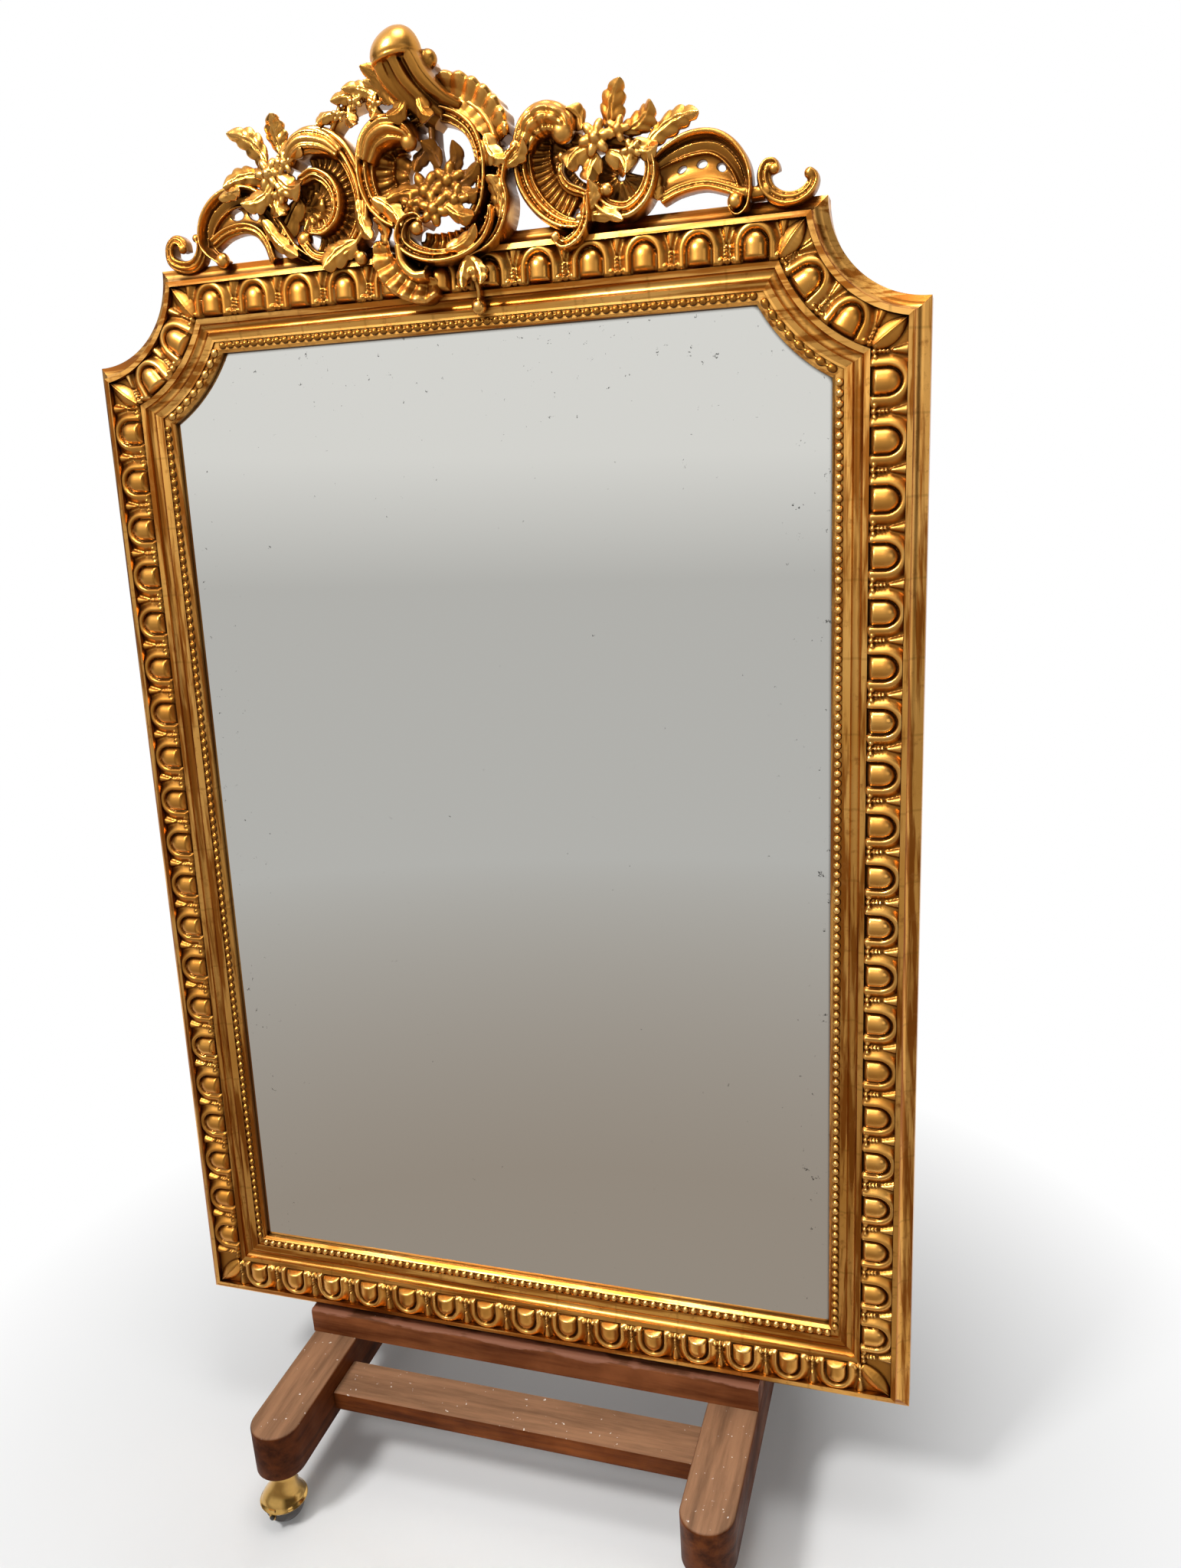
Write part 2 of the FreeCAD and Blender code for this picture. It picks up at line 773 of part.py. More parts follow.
# Left wing
LEFT_SCROLL = [
    (-203, 104), (-199, 116), (-183, 124), (-161, 120), (-140, 104), (-125, 78),
    (-118, 48), (-122, 21), (-138, 0), (-161, -10), (-184, -6), (-197, 8),
]
LEFT_SCROLL_WIDTHS = [9, 13, 17, 19, 20, 20, 20, 20, 18, 16, 12, 9]
LEFT_FLUTES = [(-188, 96), (-164, 98), (-144, 82), (-136, 52), (-144, 24), (-164, 8), (-184, 10)]
LEFT_RING = [(-196, 77), (-179, 83), (-161, 73), (-152, 54), (-156, 34), (-171, 21), (-188, 21)]
carve("left_wing_scroll", [
    ribbon(LEFT_SCROLL, LEFT_SCROLL_WIDTHS, even(26, LEFT_SCROLL)),
    ribbon(LEFT_FLUTES, even(22, LEFT_FLUTES), even(10, LEFT_FLUTES)),
    ribbon(LEFT_RING, swelling(LEFT_RING, 6, 11), even(21, LEFT_RING)),
    knob(-201, 14, 10, 12),
])
LEFT_ARCH = [
    (-314, -1), (-338, 20), (-334, 46), (-317, 65), (-293, 75),
    (-268, 72), (-247, 58), (-231, 33), (-215, 6), (-196, -8),
]
LEFT_ARCH_WIDTHS = [9, 13, 15, 16, 16, 16, 15, 13, 12, 9]
LEFT_UNDER = [(-327, 22), (-308, 32), (-284, 36), (-265, 30), (-253, 16), (-246, -4)]
LEFT_END = [
    (-371, 18), (-373, 28), (-382, 32), (-391, 24), (-390, 9),
    (-376, 1), (-359, 1), (-348, 11), (-345, 25), (-352, 33),
]
carve("left_wing_arch", [
    ribbon(LEFT_ARCH, LEFT_ARCH_WIDTHS, even(21, LEFT_ARCH)),
    ribbon(LEFT_UNDER, even(10, LEFT_UNDER), even(15, LEFT_UNDER)),
    ribbon(LEFT_END, swelling(LEFT_END, 6, 9), even(14, LEFT_END)),
    knob(-315, 2, 9, 14),
])
LEFT_STEM = [(-236, 52), (-233, 76), (-222, 98), (-206, 108)]
carve("left_wing_spray", [
    ribbon(LEFT_STEM, even(16, LEFT_STEM), even(16, LEFT_STEM)),
    leaf((-232, 96), (-281, 136), 22),
    leaf((-217, 100), (-222, 149), 22, -0.12),
    leaf((-234, 88), (-297, 82), 22),
    knob(-232, 92, 16, 12),
])

# Right wing
RIGHT_SCROLL = [
    (130, 103), (126, 115), (107, 120), (90, 110), (81, 90),
    (79, 64), (84, 40), (99, 17), (120, 1), (142, -5),
]
RIGHT_SCROLL_WIDTHS = [15, 21, 23, 22, 20, 19, 19, 18, 16, 12]
RIGHT_SCROLL_FRONTS = [30, 34, 34, 30, 27, 26, 26, 26, 26, 26]
RIGHT_FLUTES = [(116, 100), (101, 92), (96, 70), (101, 46), (116, 27), (138, 15)]
RIGHT_RING = [(222, 64), (226, 40), (217, 17), (198, 4), (177, 8), (166, 20), (172, 32)]
RIGHT_DROP = [(154, 24), (151, -3), (141, -18), (126, -24), (117, -15)]
RIGHT_LINK = [(140, 2), (158, 4), (178, 9)]
carve("right_wing_scroll", [
    ribbon(RIGHT_SCROLL, RIGHT_SCROLL_WIDTHS, RIGHT_SCROLL_FRONTS),
    ribbon(RIGHT_FLUTES, even(22, RIGHT_FLUTES), even(10, RIGHT_FLUTES)),
    ribbon(RIGHT_RING, swelling(RIGHT_RING, 8, 14), even(22, RIGHT_RING)),
    ribbon(RIGHT_DROP, swelling(RIGHT_DROP, 6, 11), even(33, RIGHT_DROP)),
    ribbon(RIGHT_LINK, even(12, RIGHT_LINK), even(20, RIGHT_LINK)),
    knob(176, 27, 8, 16),
])
RIGHT_ARCH = [
    (228, 50), (245, 63), (268, 72), (291, 73), (312, 63),
    (327, 44), (333, 21), (331, -2), (322, -9), (314, -2),
]
RIGHT_ARCH_WIDTHS = [10, 14, 16, 16, 16, 15, 14, 12, 10, 8]
RIGHT_UNDER = [(234, 12), (255, 20), (281, 23), (302, 18), (326, 8)]
RIGHT_END = [
    (359, 27), (356, 34), (349, 33), (346, 22), (351, 9), (364, 0),
    (380, -1), (393, 6), (398, 17), (392, 23),
]
RIGHT_TIE = [(331, 8), (342, 8), (352, 9)]
carve("right_wing_arch", [
    ribbon(RIGHT_ARCH, RIGHT_ARCH_WIDTHS, even(21, RIGHT_ARCH)),
    ribbon(RIGHT_UNDER, even(12, RIGHT_UNDER), even(15, RIGHT_UNDER)),
    ribbon(RIGHT_END, swelling(RIGHT_END, 6, 9), even(14, RIGHT_END)),
    ribbon(RIGHT_TIE, even(8, RIGHT_TIE), even(12, RIGHT_TIE)),
    knob(316, 1, 9, 14),
])
RIGHT_STEM = [(118, 92), (150, 82), (188, 80), (224, 52)]
carve("right_wing_spray", [
    ribbon(RIGHT_STEM, even(18, RIGHT_STEM), even(18.6, RIGHT_STEM)),
    leaf((178, 84), (196, 135), 22),
    leaf((192, 80), (228, 109), 20),
    leaf((214, 68), (279, 92), 18),
    knob(164, 81, 16, 12),
    knob(190, 86, 12, 14),
])

# Middle cartouche
BOWL_LEFT = [
    (-50, 107), (-62, 119), (-83, 122), (-101, 110), (-109, 90),
    (-109, 64), (-101, 41), (-87, 25), (-73, 16),
]
BOWL_LEFT_WIDTHS = [10, 16, 20, 20, 19, 18, 17, 15, 12]
BOWL_FLUTES = [(-68, 106), (-86, 97), (-93, 75), (-88, 52), (-72, 36), (-54, 26)]
carve("crest_left_scroll", [
    ribbon(BOWL_LEFT, BOWL_LEFT_WIDTHS, even(34, BOWL_LEFT)),
    ribbon(BOWL_FLUTES, even(22, BOWL_FLUTES), even(18, BOWL_FLUTES)),
])
RING = [(-49, 121), (-26, 127), (0, 121), (21, 105), (31, 82), (32, 54), (26, 28), (12, 9)]
BOWL_RIGHT = [(76, 80), (63, 70), (56, 48), (59, 28), (54, 5), (40, -14), (16, -26)]
BOWL_RIGHT_WIDTHS = [8, 14, 16, 17, 16, 13, 6]
RIGHT_BED = [(46, 86), (45, 60), (44, 32), (36, 6)]
carve("crest_right_scroll", [
    ribbon(RING, even(13, RING), even(32, RING)),
    ribbon(BOWL_RIGHT, BOWL_RIGHT_WIDTHS, even(36, BOWL_RIGHT)),
    ribbon(RIGHT_BED, even(22, RIGHT_BED), even(20, RIGHT_BED)),
])
LOWER = [
    (-38, 13), (-47, 19), (-61, 13), (-65, -3), (-52, -16),
    (-26, -24), (5, -22), (29, -11), (42, 7), (44, 22),
]
LOWER_WIDTHS = [7, 9, 11, 13, 14, 14, 14, 13, 12, 9]
carve("crest_lower_volute", [
    ribbon(LOWER, LOWER_WIDTHS, even(42, LOWER)),
    knob(-46, 6, 8, 26),
])
SHELL = [(-96, 2), (-93, -22), (-75, -44), (-48, -57), (-28, -55)]
SHELL_LIP = [(-68, -9), (-65, -28), (-52, -42), (-36, -43)]
carve("crest_shell", [
    ribbon(SHELL, [14, 22, 26, 24, 14], [30, 36, 38, 38, 36]),
    ribbon(SHELL_LIP, even(14, SHELL_LIP), even(42, SHELL_LIP)),
])
ARM = [(-24, 148), (4, 146), (28, 132), (46, 112), (57, 90)]
carve("crest_ruffled_arm", [ribbon(ARM, [24, 30, 33, 32, 22], [38, 36, 32, 30, 26])])
FINIAL = [(-37, 124), (-40, 144), (-44, 162), (-44, 178)]
FINIAL_BULB = 28
FINIAL_CURL = [(-22, 150), (-18, 164), (-14, 176)]
carve("crest_finial", [
    ribbon(FINIAL, [42, 46, 50, 46], [36, 48, 66, 76]),
    knob(-43, 181, FINIAL_BULB, 58),
    ribbon(FINIAL_CURL, [16, 14, 12], [40, 44, 44]),
    knob(-13, 176, 9, 36),
    leaf((-58, 146), (-90, 178), 18, 0.12, 40),
])
GARLAND = [(-60, 140), (-80, 148), (-104, 151), (-129, 146), (-146, 131), (-160, 112)]
carve("crest_garland", [ribbon(GARLAND, [12, 16, 20, 20, 16, 10], [34, 34, 32, 30, 27, 24])])
STALK = [(-26, 126), (-27, 100), (-24, 74), (-20, 50)]
BERRIES = [(-32, 48, 14), (-12, 54, 14), (-4, 36, 12), (-24, 32, 13)]
carve("crest_bouquet", [
    ribbon(STALK, even(13, STALK), even(22, STALK)),
    leaf((-6, 56), (3, 92), 12, 0.1, 24),
    leaf((-4, 50), (30, 66), 14, 0.1, 26),
    leaf((-10, 28), (22, 16), 16, 0.1, 34),
    leaf((-30, 44), (-76, 38), 16, 0.1, 30),
] + [knob(across, up, radius, 20) for across, up, radius in BERRIES])
PENDANT = [(13, -22), (17, -44), (20, -62), (18, -78)]
carve("crest_pendant", [
    ribbon(PENDANT, [10, 20, 9, 8], [40, 30, 24, 20]),
    knob(18, -80, 10, 14),
])

# Iron straps that tie the crest to the back of the top rail
STRAP_ACROSS = (-165, 48, 112)
STRAP_THICK = 3
STRAP_DOWN = 70
STRAP_UP = 60


def strap(across):
    """A cranked strap: down the back of the rail, forward over its top, up the back of the crest."""
    back = size("frame_back")
    outline = [
        (back, -STRAP_DOWN), (back + STRAP_THICK, -STRAP_DOWN), (back + STRAP_THICK, STRAP_THICK),
        (CREST_BACK + STRAP_THICK, STRAP_THICK), (CREST_BACK + STRAP_THICK, STRAP_UP),
        (CREST_BACK, STRAP_UP), (CREST_BACK, 0), (back, 0),
    ]
    low = across - size("strap_width") / 2
    points = [Vector(low, depth, frame_height + up) for depth, up in outline]
    return Part.Face(Part.Wire(Part.__sortEdges__(chain(points)))).extrude(Vector(size("strap_width"), 0, 0))


add_piece("crest_straps", Part.makeCompound([strap(across) for across in STRAP_ACROSS]), LEANING)

# The stand: two feet on castors, a stretcher, a ledge, and two leaning posts with braces
FOOT_TOP = "Sizes.castor_height + Sizes.foot_height"
SIDES = {"left": -1, "right": 1}
POST_FRONT = (
    "Sizes.mirror_y + (Sizes.frame_back + Sizes.lean_gap) * sqrt(1 + Sizes.lean_slope ^ 2)"
    f" + ({{height}} - {mirror_z}) * Sizes.lean_slope"
)
MORTISE_WIDE = 24
MORTISE_LONG = 36
MORTISE_DEEP = 45
EASED_EDGE = 4


def foot_centre(sign):
    """Expression for a foot's place across."""
    return f"Sizes.stand_x + {sign} * Sizes.foot_span / 2"


def post_front(height):
    """Expression for the post's front face at a height."""
    return POST_FRONT.format(height=height)


for side, sign in SIDES.items():
    foot = new_body(f"stand_{side}_foot")
    half = "Sizes.foot_width / 2"
    run = "Sizes.foot_length / 2"
    plan = draw_outline(foot, f"{side}_foot_plan", "XY_Plane", [
        (f"-{half}", f"-({run} - {half})", "0", f"-({run})"),
        (half, f"-({run} - {half})"),
        (half, f"{run} - {half}", "0", run),
        (f"-{half}", f"{run} - {half}"),
    ])
    timber = pad(foot, plan, "Sizes.foot_height")
    doc.recompute()
    high = size("foot_height")
    rims = [
        f"Edge{number}"
        for number, edge in enumerate(timber.Shape.Edges, 1)
        if all(abs(vertex.Z - high) < 0.01 for vertex in edge.Vertexes)
    ]
    eased = foot.newObject("PartDesign::Fillet", f"{side}_foot_eased")
    eased.Base = (timber, rims)
    eased.Radius = EASED_EDGE
    block(
        foot, "SubtractiveBox", f"{side}_stretcher_mortise",
        ("Sizes.tenon", "Sizes.stretcher_depth - 14", "Sizes.stretcher_thick - 8"),
        (
            f"{-sign} * {half} - {0 if sign > 0 else 1} * Sizes.tenon",
            "Sizes.stretcher_y - Sizes.stretcher_depth / 2 + 7",
            "Sizes.stretcher_base - Sizes.castor_height + 4",
        ),
    )
    block(
        foot, "SubtractiveBox", f"{side}_post_mortise",
        (str(MORTISE_WIDE), str(MORTISE_LONG), str(MORTISE_DEEP)),
        (
            str(-MORTISE_WIDE / 2),
            post_front(FOOT_TOP) + " + 5",
            f"Sizes.foot_height - {MORTISE_DEEP}",
        ),
    )
    place(foot, x=foot_centre(sign), z="Sizes.castor_height")

    post = new_body(f"stand_{side}_post")
    rise = draw_outline(post, f"{side}_post_side", "YZ_Plane", [
        (post_front(FOOT_TOP), FOOT_TOP),
        (post_front(FOOT_TOP) + " + Sizes.post_depth", FOOT_TOP),
        (post_front("Sizes.post_top") + " + Sizes.post_depth", "Sizes.post_top"),
        (post_front("Sizes.post_top"), "Sizes.post_top"),
    ])
    pad(post, rise, "Sizes.post_width", "Symmetric")
    block(
        post, "AdditiveBox", f"{side}_post_tenon",
        (str(MORTISE_WIDE), str(MORTISE_LONG), str(MORTISE_DEEP)),
        (str(-MORTISE_WIDE / 2), post_front(FOOT_TOP) + " + 5", f"{FOOT_TOP} - {MORTISE_DEEP}"),
    )
    place(post, x=foot_centre(sign))

    brace = new_body(f"stand_{side}_brace")
    BRACE_HIGH = (600, 660)
    BRACE_LOW = (190, 240)
    slope = draw_outline(brace, f"{side}_brace_side", "YZ_Plane", [
        (str(BRACE_LOW[0]), FOOT_TOP),
        (str(BRACE_LOW[1]), FOOT_TOP),
        (post_front(BRACE_HIGH[1]) + " + Sizes.post_depth", str(BRACE_HIGH[1])),
        (post_front(BRACE_HIGH[0]) + " + Sizes.post_depth", str(BRACE_HIGH[0])),
    ])
    pad(brace, slope, "Sizes.brace_width", "Symmetric")
    place(brace, x=foot_centre(sign))

ledge = new_body("stand_ledge")
front = "Sizes.mirror_y - Sizes.ledge_front"
top = f"{FOOT_TOP} + Sizes.ledge_height"
shelf = draw_outline(ledge, "ledge_section", "YZ_Plane", [
    (front, FOOT_TOP),
    (post_front(FOOT_TOP), FOOT_TOP),
    (post_front(f"({top})"), top),
    (f"{front} + 4", top, f"{front} + 1.2", f"{top} - 1.2"),
    (front, f"{top} - 4"),
])
pad(ledge, shelf, "Sizes.ledge_width", "Symmetric")
place(ledge, x="Sizes.stand_x")

stretcher = new_body("stand_stretcher")
clear = "(Sizes.foot_span - Sizes.foot_width)"
block(
    stretcher, "AdditiveBox", "stretcher_bar",
    (clear, "Sizes.stretcher_depth", "Sizes.stretcher_thick"),
    (f"-{clear} / 2", "-Sizes.stretcher_depth / 2", "0"),
)
block(
    stretcher, "AdditiveBox", "stretcher_tenons",
    (f"{clear} + 2 * Sizes.tenon", "Sizes.stretcher_depth - 14", "Sizes.stretcher_thick - 8"),
    (f"-{clear} / 2 - Sizes.tenon", "-Sizes.stretcher_depth / 2 + 7", "4"),
)
place(stretcher, x="Sizes.stand_x", y="Sizes.stretcher_y", z="Sizes.stretcher_base")

CROSS_RAIL_UP = 900
CROSS_RAIL_HIGH = 80
CROSS_RAIL_THICK = 22
cross_rail = new_body("stand_cross_rail")
between = "(Sizes.foot_span - Sizes.post_width)"
block(
    cross_rail, "AdditiveBox", "cross_rail_board",
    (between, str(CROSS_RAIL_THICK), str(CROSS_RAIL_HIGH)),
    (f"Sizes.stand_x - {between} / 2", "Sizes.frame_back + Sizes.lean_gap", str(CROSS_RAIL_UP)),
)
cross_rail.Placement = LEANING

# Castors: a plate and stem under each end of a foot, a brass hood that swivels, a ball wheel inside
HOOD_RIM = 22
STEM_RADIUS = 6
STEM_LONG = 22
PLATE_RADIUS = 30
PLATE_THICK = 4
BOSS_RADIUS = 13
SWIVEL_GAP = 0.4
castor_top = size("castor_height")
trail = size("castor_trail")
ball = size("ball_radius")
CASTORS = {
    "front_left": (-1, -1),
    "front_right": (1, -1),
    "rear_left": (-1, 1),
    "rear_right": (1, 1),
}


def castor_point(signs):
    """Where a castor's swivel axis meets the floor."""
    across = size("stand_x") + signs[0] * size("foot_span") / 2
    return Vector(across, signs[1] * size("castor_reach"), 0)


def upright_rod(label, radius, height, low):
    """An upright cylinder that starts at a low point."""
    cylinder = doc.addObject("Part::Cylinder", label)
    cylinder.Radius = radius
    cylinder.Height = height
    cylinder.Placement = Placement(low, Rotation())
    return cylinder


plates = []
for name, signs in CASTORS.items():
    under = castor_point(signs) + Vector(0, 0, castor_top - PLATE_THICK)
    plate = doc.addObject("Part::Fuse", f"{name}_plate")
    plate.Base = upright_rod(f"{name}_disc", PLATE_RADIUS, PLATE_THICK, under)
    plate.Tool = upright_rod(f"{name}_stem", STEM_RADIUS, STEM_LONG, under - Vector(0, 0, STEM_LONG))
    plate.Refine = True
    plates.append(plate)
group("castor_plates", plates)

for name, signs in CASTORS.items():
    spot = castor_point(signs)
    hood = new_body(f"castor_{name}_hood")
    shell = draw_outline(hood, f"{name}_hood_section", "XZ_Plane", [
        ("31", str(HOOD_RIM), "34.6", "28"),
        ("35.5", "36", "33.6", "56"),
        ("24", "76", "19.5", "81"),
        ("13", "84"),
        ("0", "84"),
        ("0", "Sizes.ball_radius + 30", "21.2132", "Sizes.ball_radius + 21.2132"),
        ("30", "Sizes.ball_radius"),
        ("29.2", str(HOOD_RIM)),
    ])
    spun = hood.newObject("PartDesign::Revolution", f"{name}_hood_bowl")
    spun.Profile = shell
    spun.ReferenceAxis = (shell, ["V_Axis"])
    spun.Angle = 360
    boss = hood.newObject("PartDesign::AdditiveCylinder", f"{name}_hood_boss")
    boss.Radius = BOSS_RADIUS
    boss.setExpression("Height", f"Sizes.castor_height - {PLATE_THICK + SWIVEL_GAP} - 70")
    boss.setExpression("Placement.Base.x", "Sizes.castor_trail")
    boss.Placement.Base.z = 70
    socket = hood.newObject("PartDesign::SubtractiveCylinder", f"{name}_hood_socket")
    socket.setExpression("Radius", f"{STEM_RADIUS} + Sizes.running_gap")
    socket.Height = STEM_LONG + 10
    socket.setExpression("Placement.Base.x", "Sizes.castor_trail")
    socket.setExpression("Placement.Base.z", f"Sizes.castor_height - {PLATE_THICK + STEM_LONG} - 0.5")
    cross_hole = hood.newObject("PartDesign::SubtractiveCylinder", f"{name}_hood_axle_hole")
    cross_hole.setExpression("Radius", "Sizes.axle_radius")
    cross_hole.Height = 80
    cross_hole.Placement = Placement(Vector(0, 40, ball), Rotation(Vector(1, 0, 0), 90))
    hood.Placement = Placement(spot - Vector(trail, 0, 0), Rotation())

    axle = new_body(f"castor_{name}_axle")
    rod = axle.newObject("PartDesign::AdditiveCylinder", f"{name}_axle_rod")
    rod.setExpression("Radius", "Sizes.axle_radius")
    rod.Height = 68
    rod.Placement = Placement(Vector(0, 34, 0), Rotation(Vector(1, 0, 0), 90))
    axle.Placement = Placement(spot + Vector(-trail, 0, ball), Rotation())

    wheel = new_body(f"castor_{name}_wheel")
    tread = "sqrt(Sizes.ball_radius ^ 2 - Sizes.ball_half_width ^ 2)"
    bore = "Sizes.axle_radius + Sizes.running_gap"
    ball_section = draw_outline(wheel, f"{name}_wheel_section", "XY_Plane", [
        (bore, "-Sizes.ball_half_width"),
        (tread, "-Sizes.ball_half_width", "Sizes.ball_radius", "0"),
        (tread, "Sizes.ball_half_width"),
        (bore, "Sizes.ball_half_width"),
    ])
    rolled = wheel.newObject("PartDesign::Revolution", f"{name}_wheel_ball")
    rolled.Profile = ball_section
    rolled.ReferenceAxis = (ball_section, ["V_Axis"])
    rolled.Angle = 360
    wheel.Placement = Placement(spot + Vector(-trail, 0, ball), Rotation())

doc.recompute()
for item in doc.Objects:
    if "Invalid" in item.State or "Error" in item.State:
        raise RuntimeError(f"{item.Name} failed: {item.State}")
for piece in pieces:
    if piece.Shape.isNull() or not piece.Shape.isValid():
        raise RuntimeError(f"{piece.Label} has no valid shape")
os.makedirs("parts", exist_ok=True)
for piece in pieces:
    piece.Shape.exportStep(f"parts/{piece.Label}.step")
print(len(pieces), "pieces written")
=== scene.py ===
import json
import math

import bmesh
import bpy
import numpy as np
from mathutils import Matrix, Vector


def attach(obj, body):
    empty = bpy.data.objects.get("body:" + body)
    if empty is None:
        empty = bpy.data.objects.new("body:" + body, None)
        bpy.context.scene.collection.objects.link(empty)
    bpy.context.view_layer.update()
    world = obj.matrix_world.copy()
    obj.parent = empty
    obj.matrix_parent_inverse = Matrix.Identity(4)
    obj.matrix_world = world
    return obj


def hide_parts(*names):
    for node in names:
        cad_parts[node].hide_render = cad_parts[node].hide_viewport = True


# %% [markdown]
# # A gilt mirror on a castored stand
#
# The construction comes from the CAD frame: sixty named pieces on ten bodies. This lesson dresses it.
# Flat and turned pieces keep their CAD shape and only get soft edges and a finish. The ornament, which
# a carver would cut freehand, is drawn here again with more detail and replaces its CAD block.

# %% Load the frame
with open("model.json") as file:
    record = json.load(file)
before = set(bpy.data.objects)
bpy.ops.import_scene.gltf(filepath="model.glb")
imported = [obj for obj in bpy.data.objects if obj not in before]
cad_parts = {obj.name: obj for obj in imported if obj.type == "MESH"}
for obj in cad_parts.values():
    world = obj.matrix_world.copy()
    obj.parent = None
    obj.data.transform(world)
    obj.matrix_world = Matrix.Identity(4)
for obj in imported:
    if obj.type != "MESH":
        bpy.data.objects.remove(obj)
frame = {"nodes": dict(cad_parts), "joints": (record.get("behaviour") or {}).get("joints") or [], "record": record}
scene = bpy.context.scene
nodes = frame["nodes"]
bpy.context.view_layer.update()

# %% [markdown]
# ## The mirror's own frame
#
# The frame leans back a few degrees, so ornament is easiest to draw upright: millimetres across from the
# middle, back from the moulding's datum, and up from the frame's lower edge. The lift joint's axis gives
# the lean and a hanging eye gives the place, both read from the record, so a changed lean carries over.

# %% Axes and origin of the leaning mirror
MM = 0.001
FRAME_WIDTH = 1040.0
FRAME_HEIGHT = 1460.0
SCOOP_RADIUS = 108.0
EYE_PLACE = np.array([-474.0, 29.5, 1120.0])


def named(rows, name):
    """The row of a list that has a certain name."""
    return [row for row in rows if row["name"] == name][0]


lift = named(frame["joints"], "mirror_lift")
eye = named(frame["record"]["mounts"], "left_hanging_eye")
up = np.array(lift["axis"], float)
across = np.array([1.0, 0.0, 0.0])
back = np.cross(up, across)
MIRROR_AXES = np.vstack([across, back, up])
MIRROR_ORIGIN = np.array(eye["pos_m"], float) - EYE_PLACE * MM @ MIRROR_AXES


def from_mirror(points):
    """Points of the mirror's upright frame, in millimetres, as world points in metres."""
    return np.asarray(points, float).reshape(-1, 3) * MM @ MIRROR_AXES + MIRROR_ORIGIN


lean_angle = math.degrees(math.asin(up[1]))
print("lower edge's middle at", np.round(MIRROR_ORIGIN, 4), "lean", round(lean_angle, 2))

# %% [markdown]
# ## Camera, stage and light
#
# The camera is the photograph's: a wide lens a little to the right of the mirror and above its middle,
# tipped down. Behind the object is a white backdrop that the floor runs into. Behind the camera is a grey
# room, because gold and glass take their look from what they reflect: the glass shows the room's wall, and
# the gold stays deep where it faces the room and turns bright where it faces a lamp.

# %% Camera
CAMERA_PLACE = Vector((0.566, -1.4085, 1.4385))
CAMERA_FORWARD = Vector((-0.297, 0.914, -0.279))
CAMERA_UP = Vector((-0.028, 0.284, 0.958))
LENS = 27.6


def new_object(name, data):
    """An object of the scene that shows some data."""
    made = bpy.data.objects.new(name, data)
    scene.collection.objects.link(made)
    return made


camera_data = bpy.data.cameras.new("camera")
camera_data.lens = LENS
camera_data.clip_start = 0.05
camera = new_object("camera", camera_data)
forward = CAMERA_FORWARD.normalized()
right = forward.cross(CAMERA_UP).normalized()
upward = right.cross(forward)
turned = Matrix((right, upward, -forward)).transposed().to_4x4()
camera.matrix_world = Matrix.Translation(CAMERA_PLACE) @ turned
scene.camera = camera
scene.view_settings.view_transform = "Standard"
print("camera at", tuple(round(part, 3) for part in CAMERA_PLACE))

# %% [markdown]
# ### Floor and room
#
# A material is a tree of nodes. A few small functions keep the trees readable: each adds a node and hands
# on what it gives. The floor and the world answer by the kind of ray that asks: the camera sees a white
# backdrop, metal and glass see the room, and all other rays meet the pale floor and an even grey.

# %% Floor and surroundings
FLOOR_HALF = 9.0
PALE_FLOOR = (0.74, 0.74, 0.735)
FRONT_FLOOR = (0.33, 0.285, 0.24)
DARK_SIDE = (0.10, 0.085, 0.07)
WALL_GREY = (0.50, 0.495, 0.48)
UPPER_WALL = (0.74, 0.735, 0.715)
CEILING = (0.85, 0.85, 0.84)
WHITE = (1.0, 1.0, 1.0)
EVEN_LIGHT = (0.30, 0.30, 0.30)

floor_mesh = bpy.data.meshes.new("floor")
corners = [(x * FLOOR_HALF, y * FLOOR_HALF, 0) for x, y in ((-1, -1), (1, -1), (1, 1), (-1, 1))]
floor_mesh.from_pydata(corners, [], [(0, 1, 2, 3)])
floor = new_object("floor", floor_mesh)


def new_material(name):
    """A material with its shader and its node tree, ready for links."""
    material = bpy.data.materials.new(name)
    material.use_nodes = True
    return material, material.node_tree, material.node_tree.nodes["Principled BSDF"]


def own_place(tree):
    """Places on the surface, in the object's own frame."""
    return tree.nodes.new("ShaderNodeTexCoord").outputs["Object"]


def spread_between(tree, amount, low, high):
    """The amount stretched so that low becomes 0 and high becomes 1."""
    stretch = tree.nodes.new("ShaderNodeMapRange")
    stretch.inputs["From Min"].default_value = low
    stretch.inputs["From Max"].default_value = high
    tree.links.new(amount, stretch.inputs["Value"])
    return stretch.outputs["Result"]


def combine(tree, way, *amounts):
    """Amounts put together by a sum, a product or another way. An amount may be a plain number."""
    node = tree.nodes.new("ShaderNodeMath")
    node.operation = way
    for socket, amount in zip(node.inputs, amounts):
        if isinstance(amount, float):
            socket.default_value = amount
        else:
            tree.links.new(amount, socket)
    return node.outputs["Value"]


def parts_of(tree, vector):
    """The three parts of a vector."""
    split = tree.nodes.new("ShaderNodeSeparateXYZ")
    tree.links.new(vector, split.inputs["Vector"])
    return split.outputs["X"], split.outputs["Y"], split.outputs["Z"]


def ramp(tree, amount, stops):
    """Colours along an amount, from stops of (place, colour)."""
    scale = tree.nodes.new("ShaderNodeValToRGB")
    while len(scale.color_ramp.elements) < len(stops):
        scale.color_ramp.elements.new(1.0)
    for element, (place, colour) in zip(scale.color_ramp.elements, stops):
        element.position = place
        element.color = (*colour, 1)
    tree.links.new(amount, scale.inputs["Fac"])
    return scale.outputs["Color"]


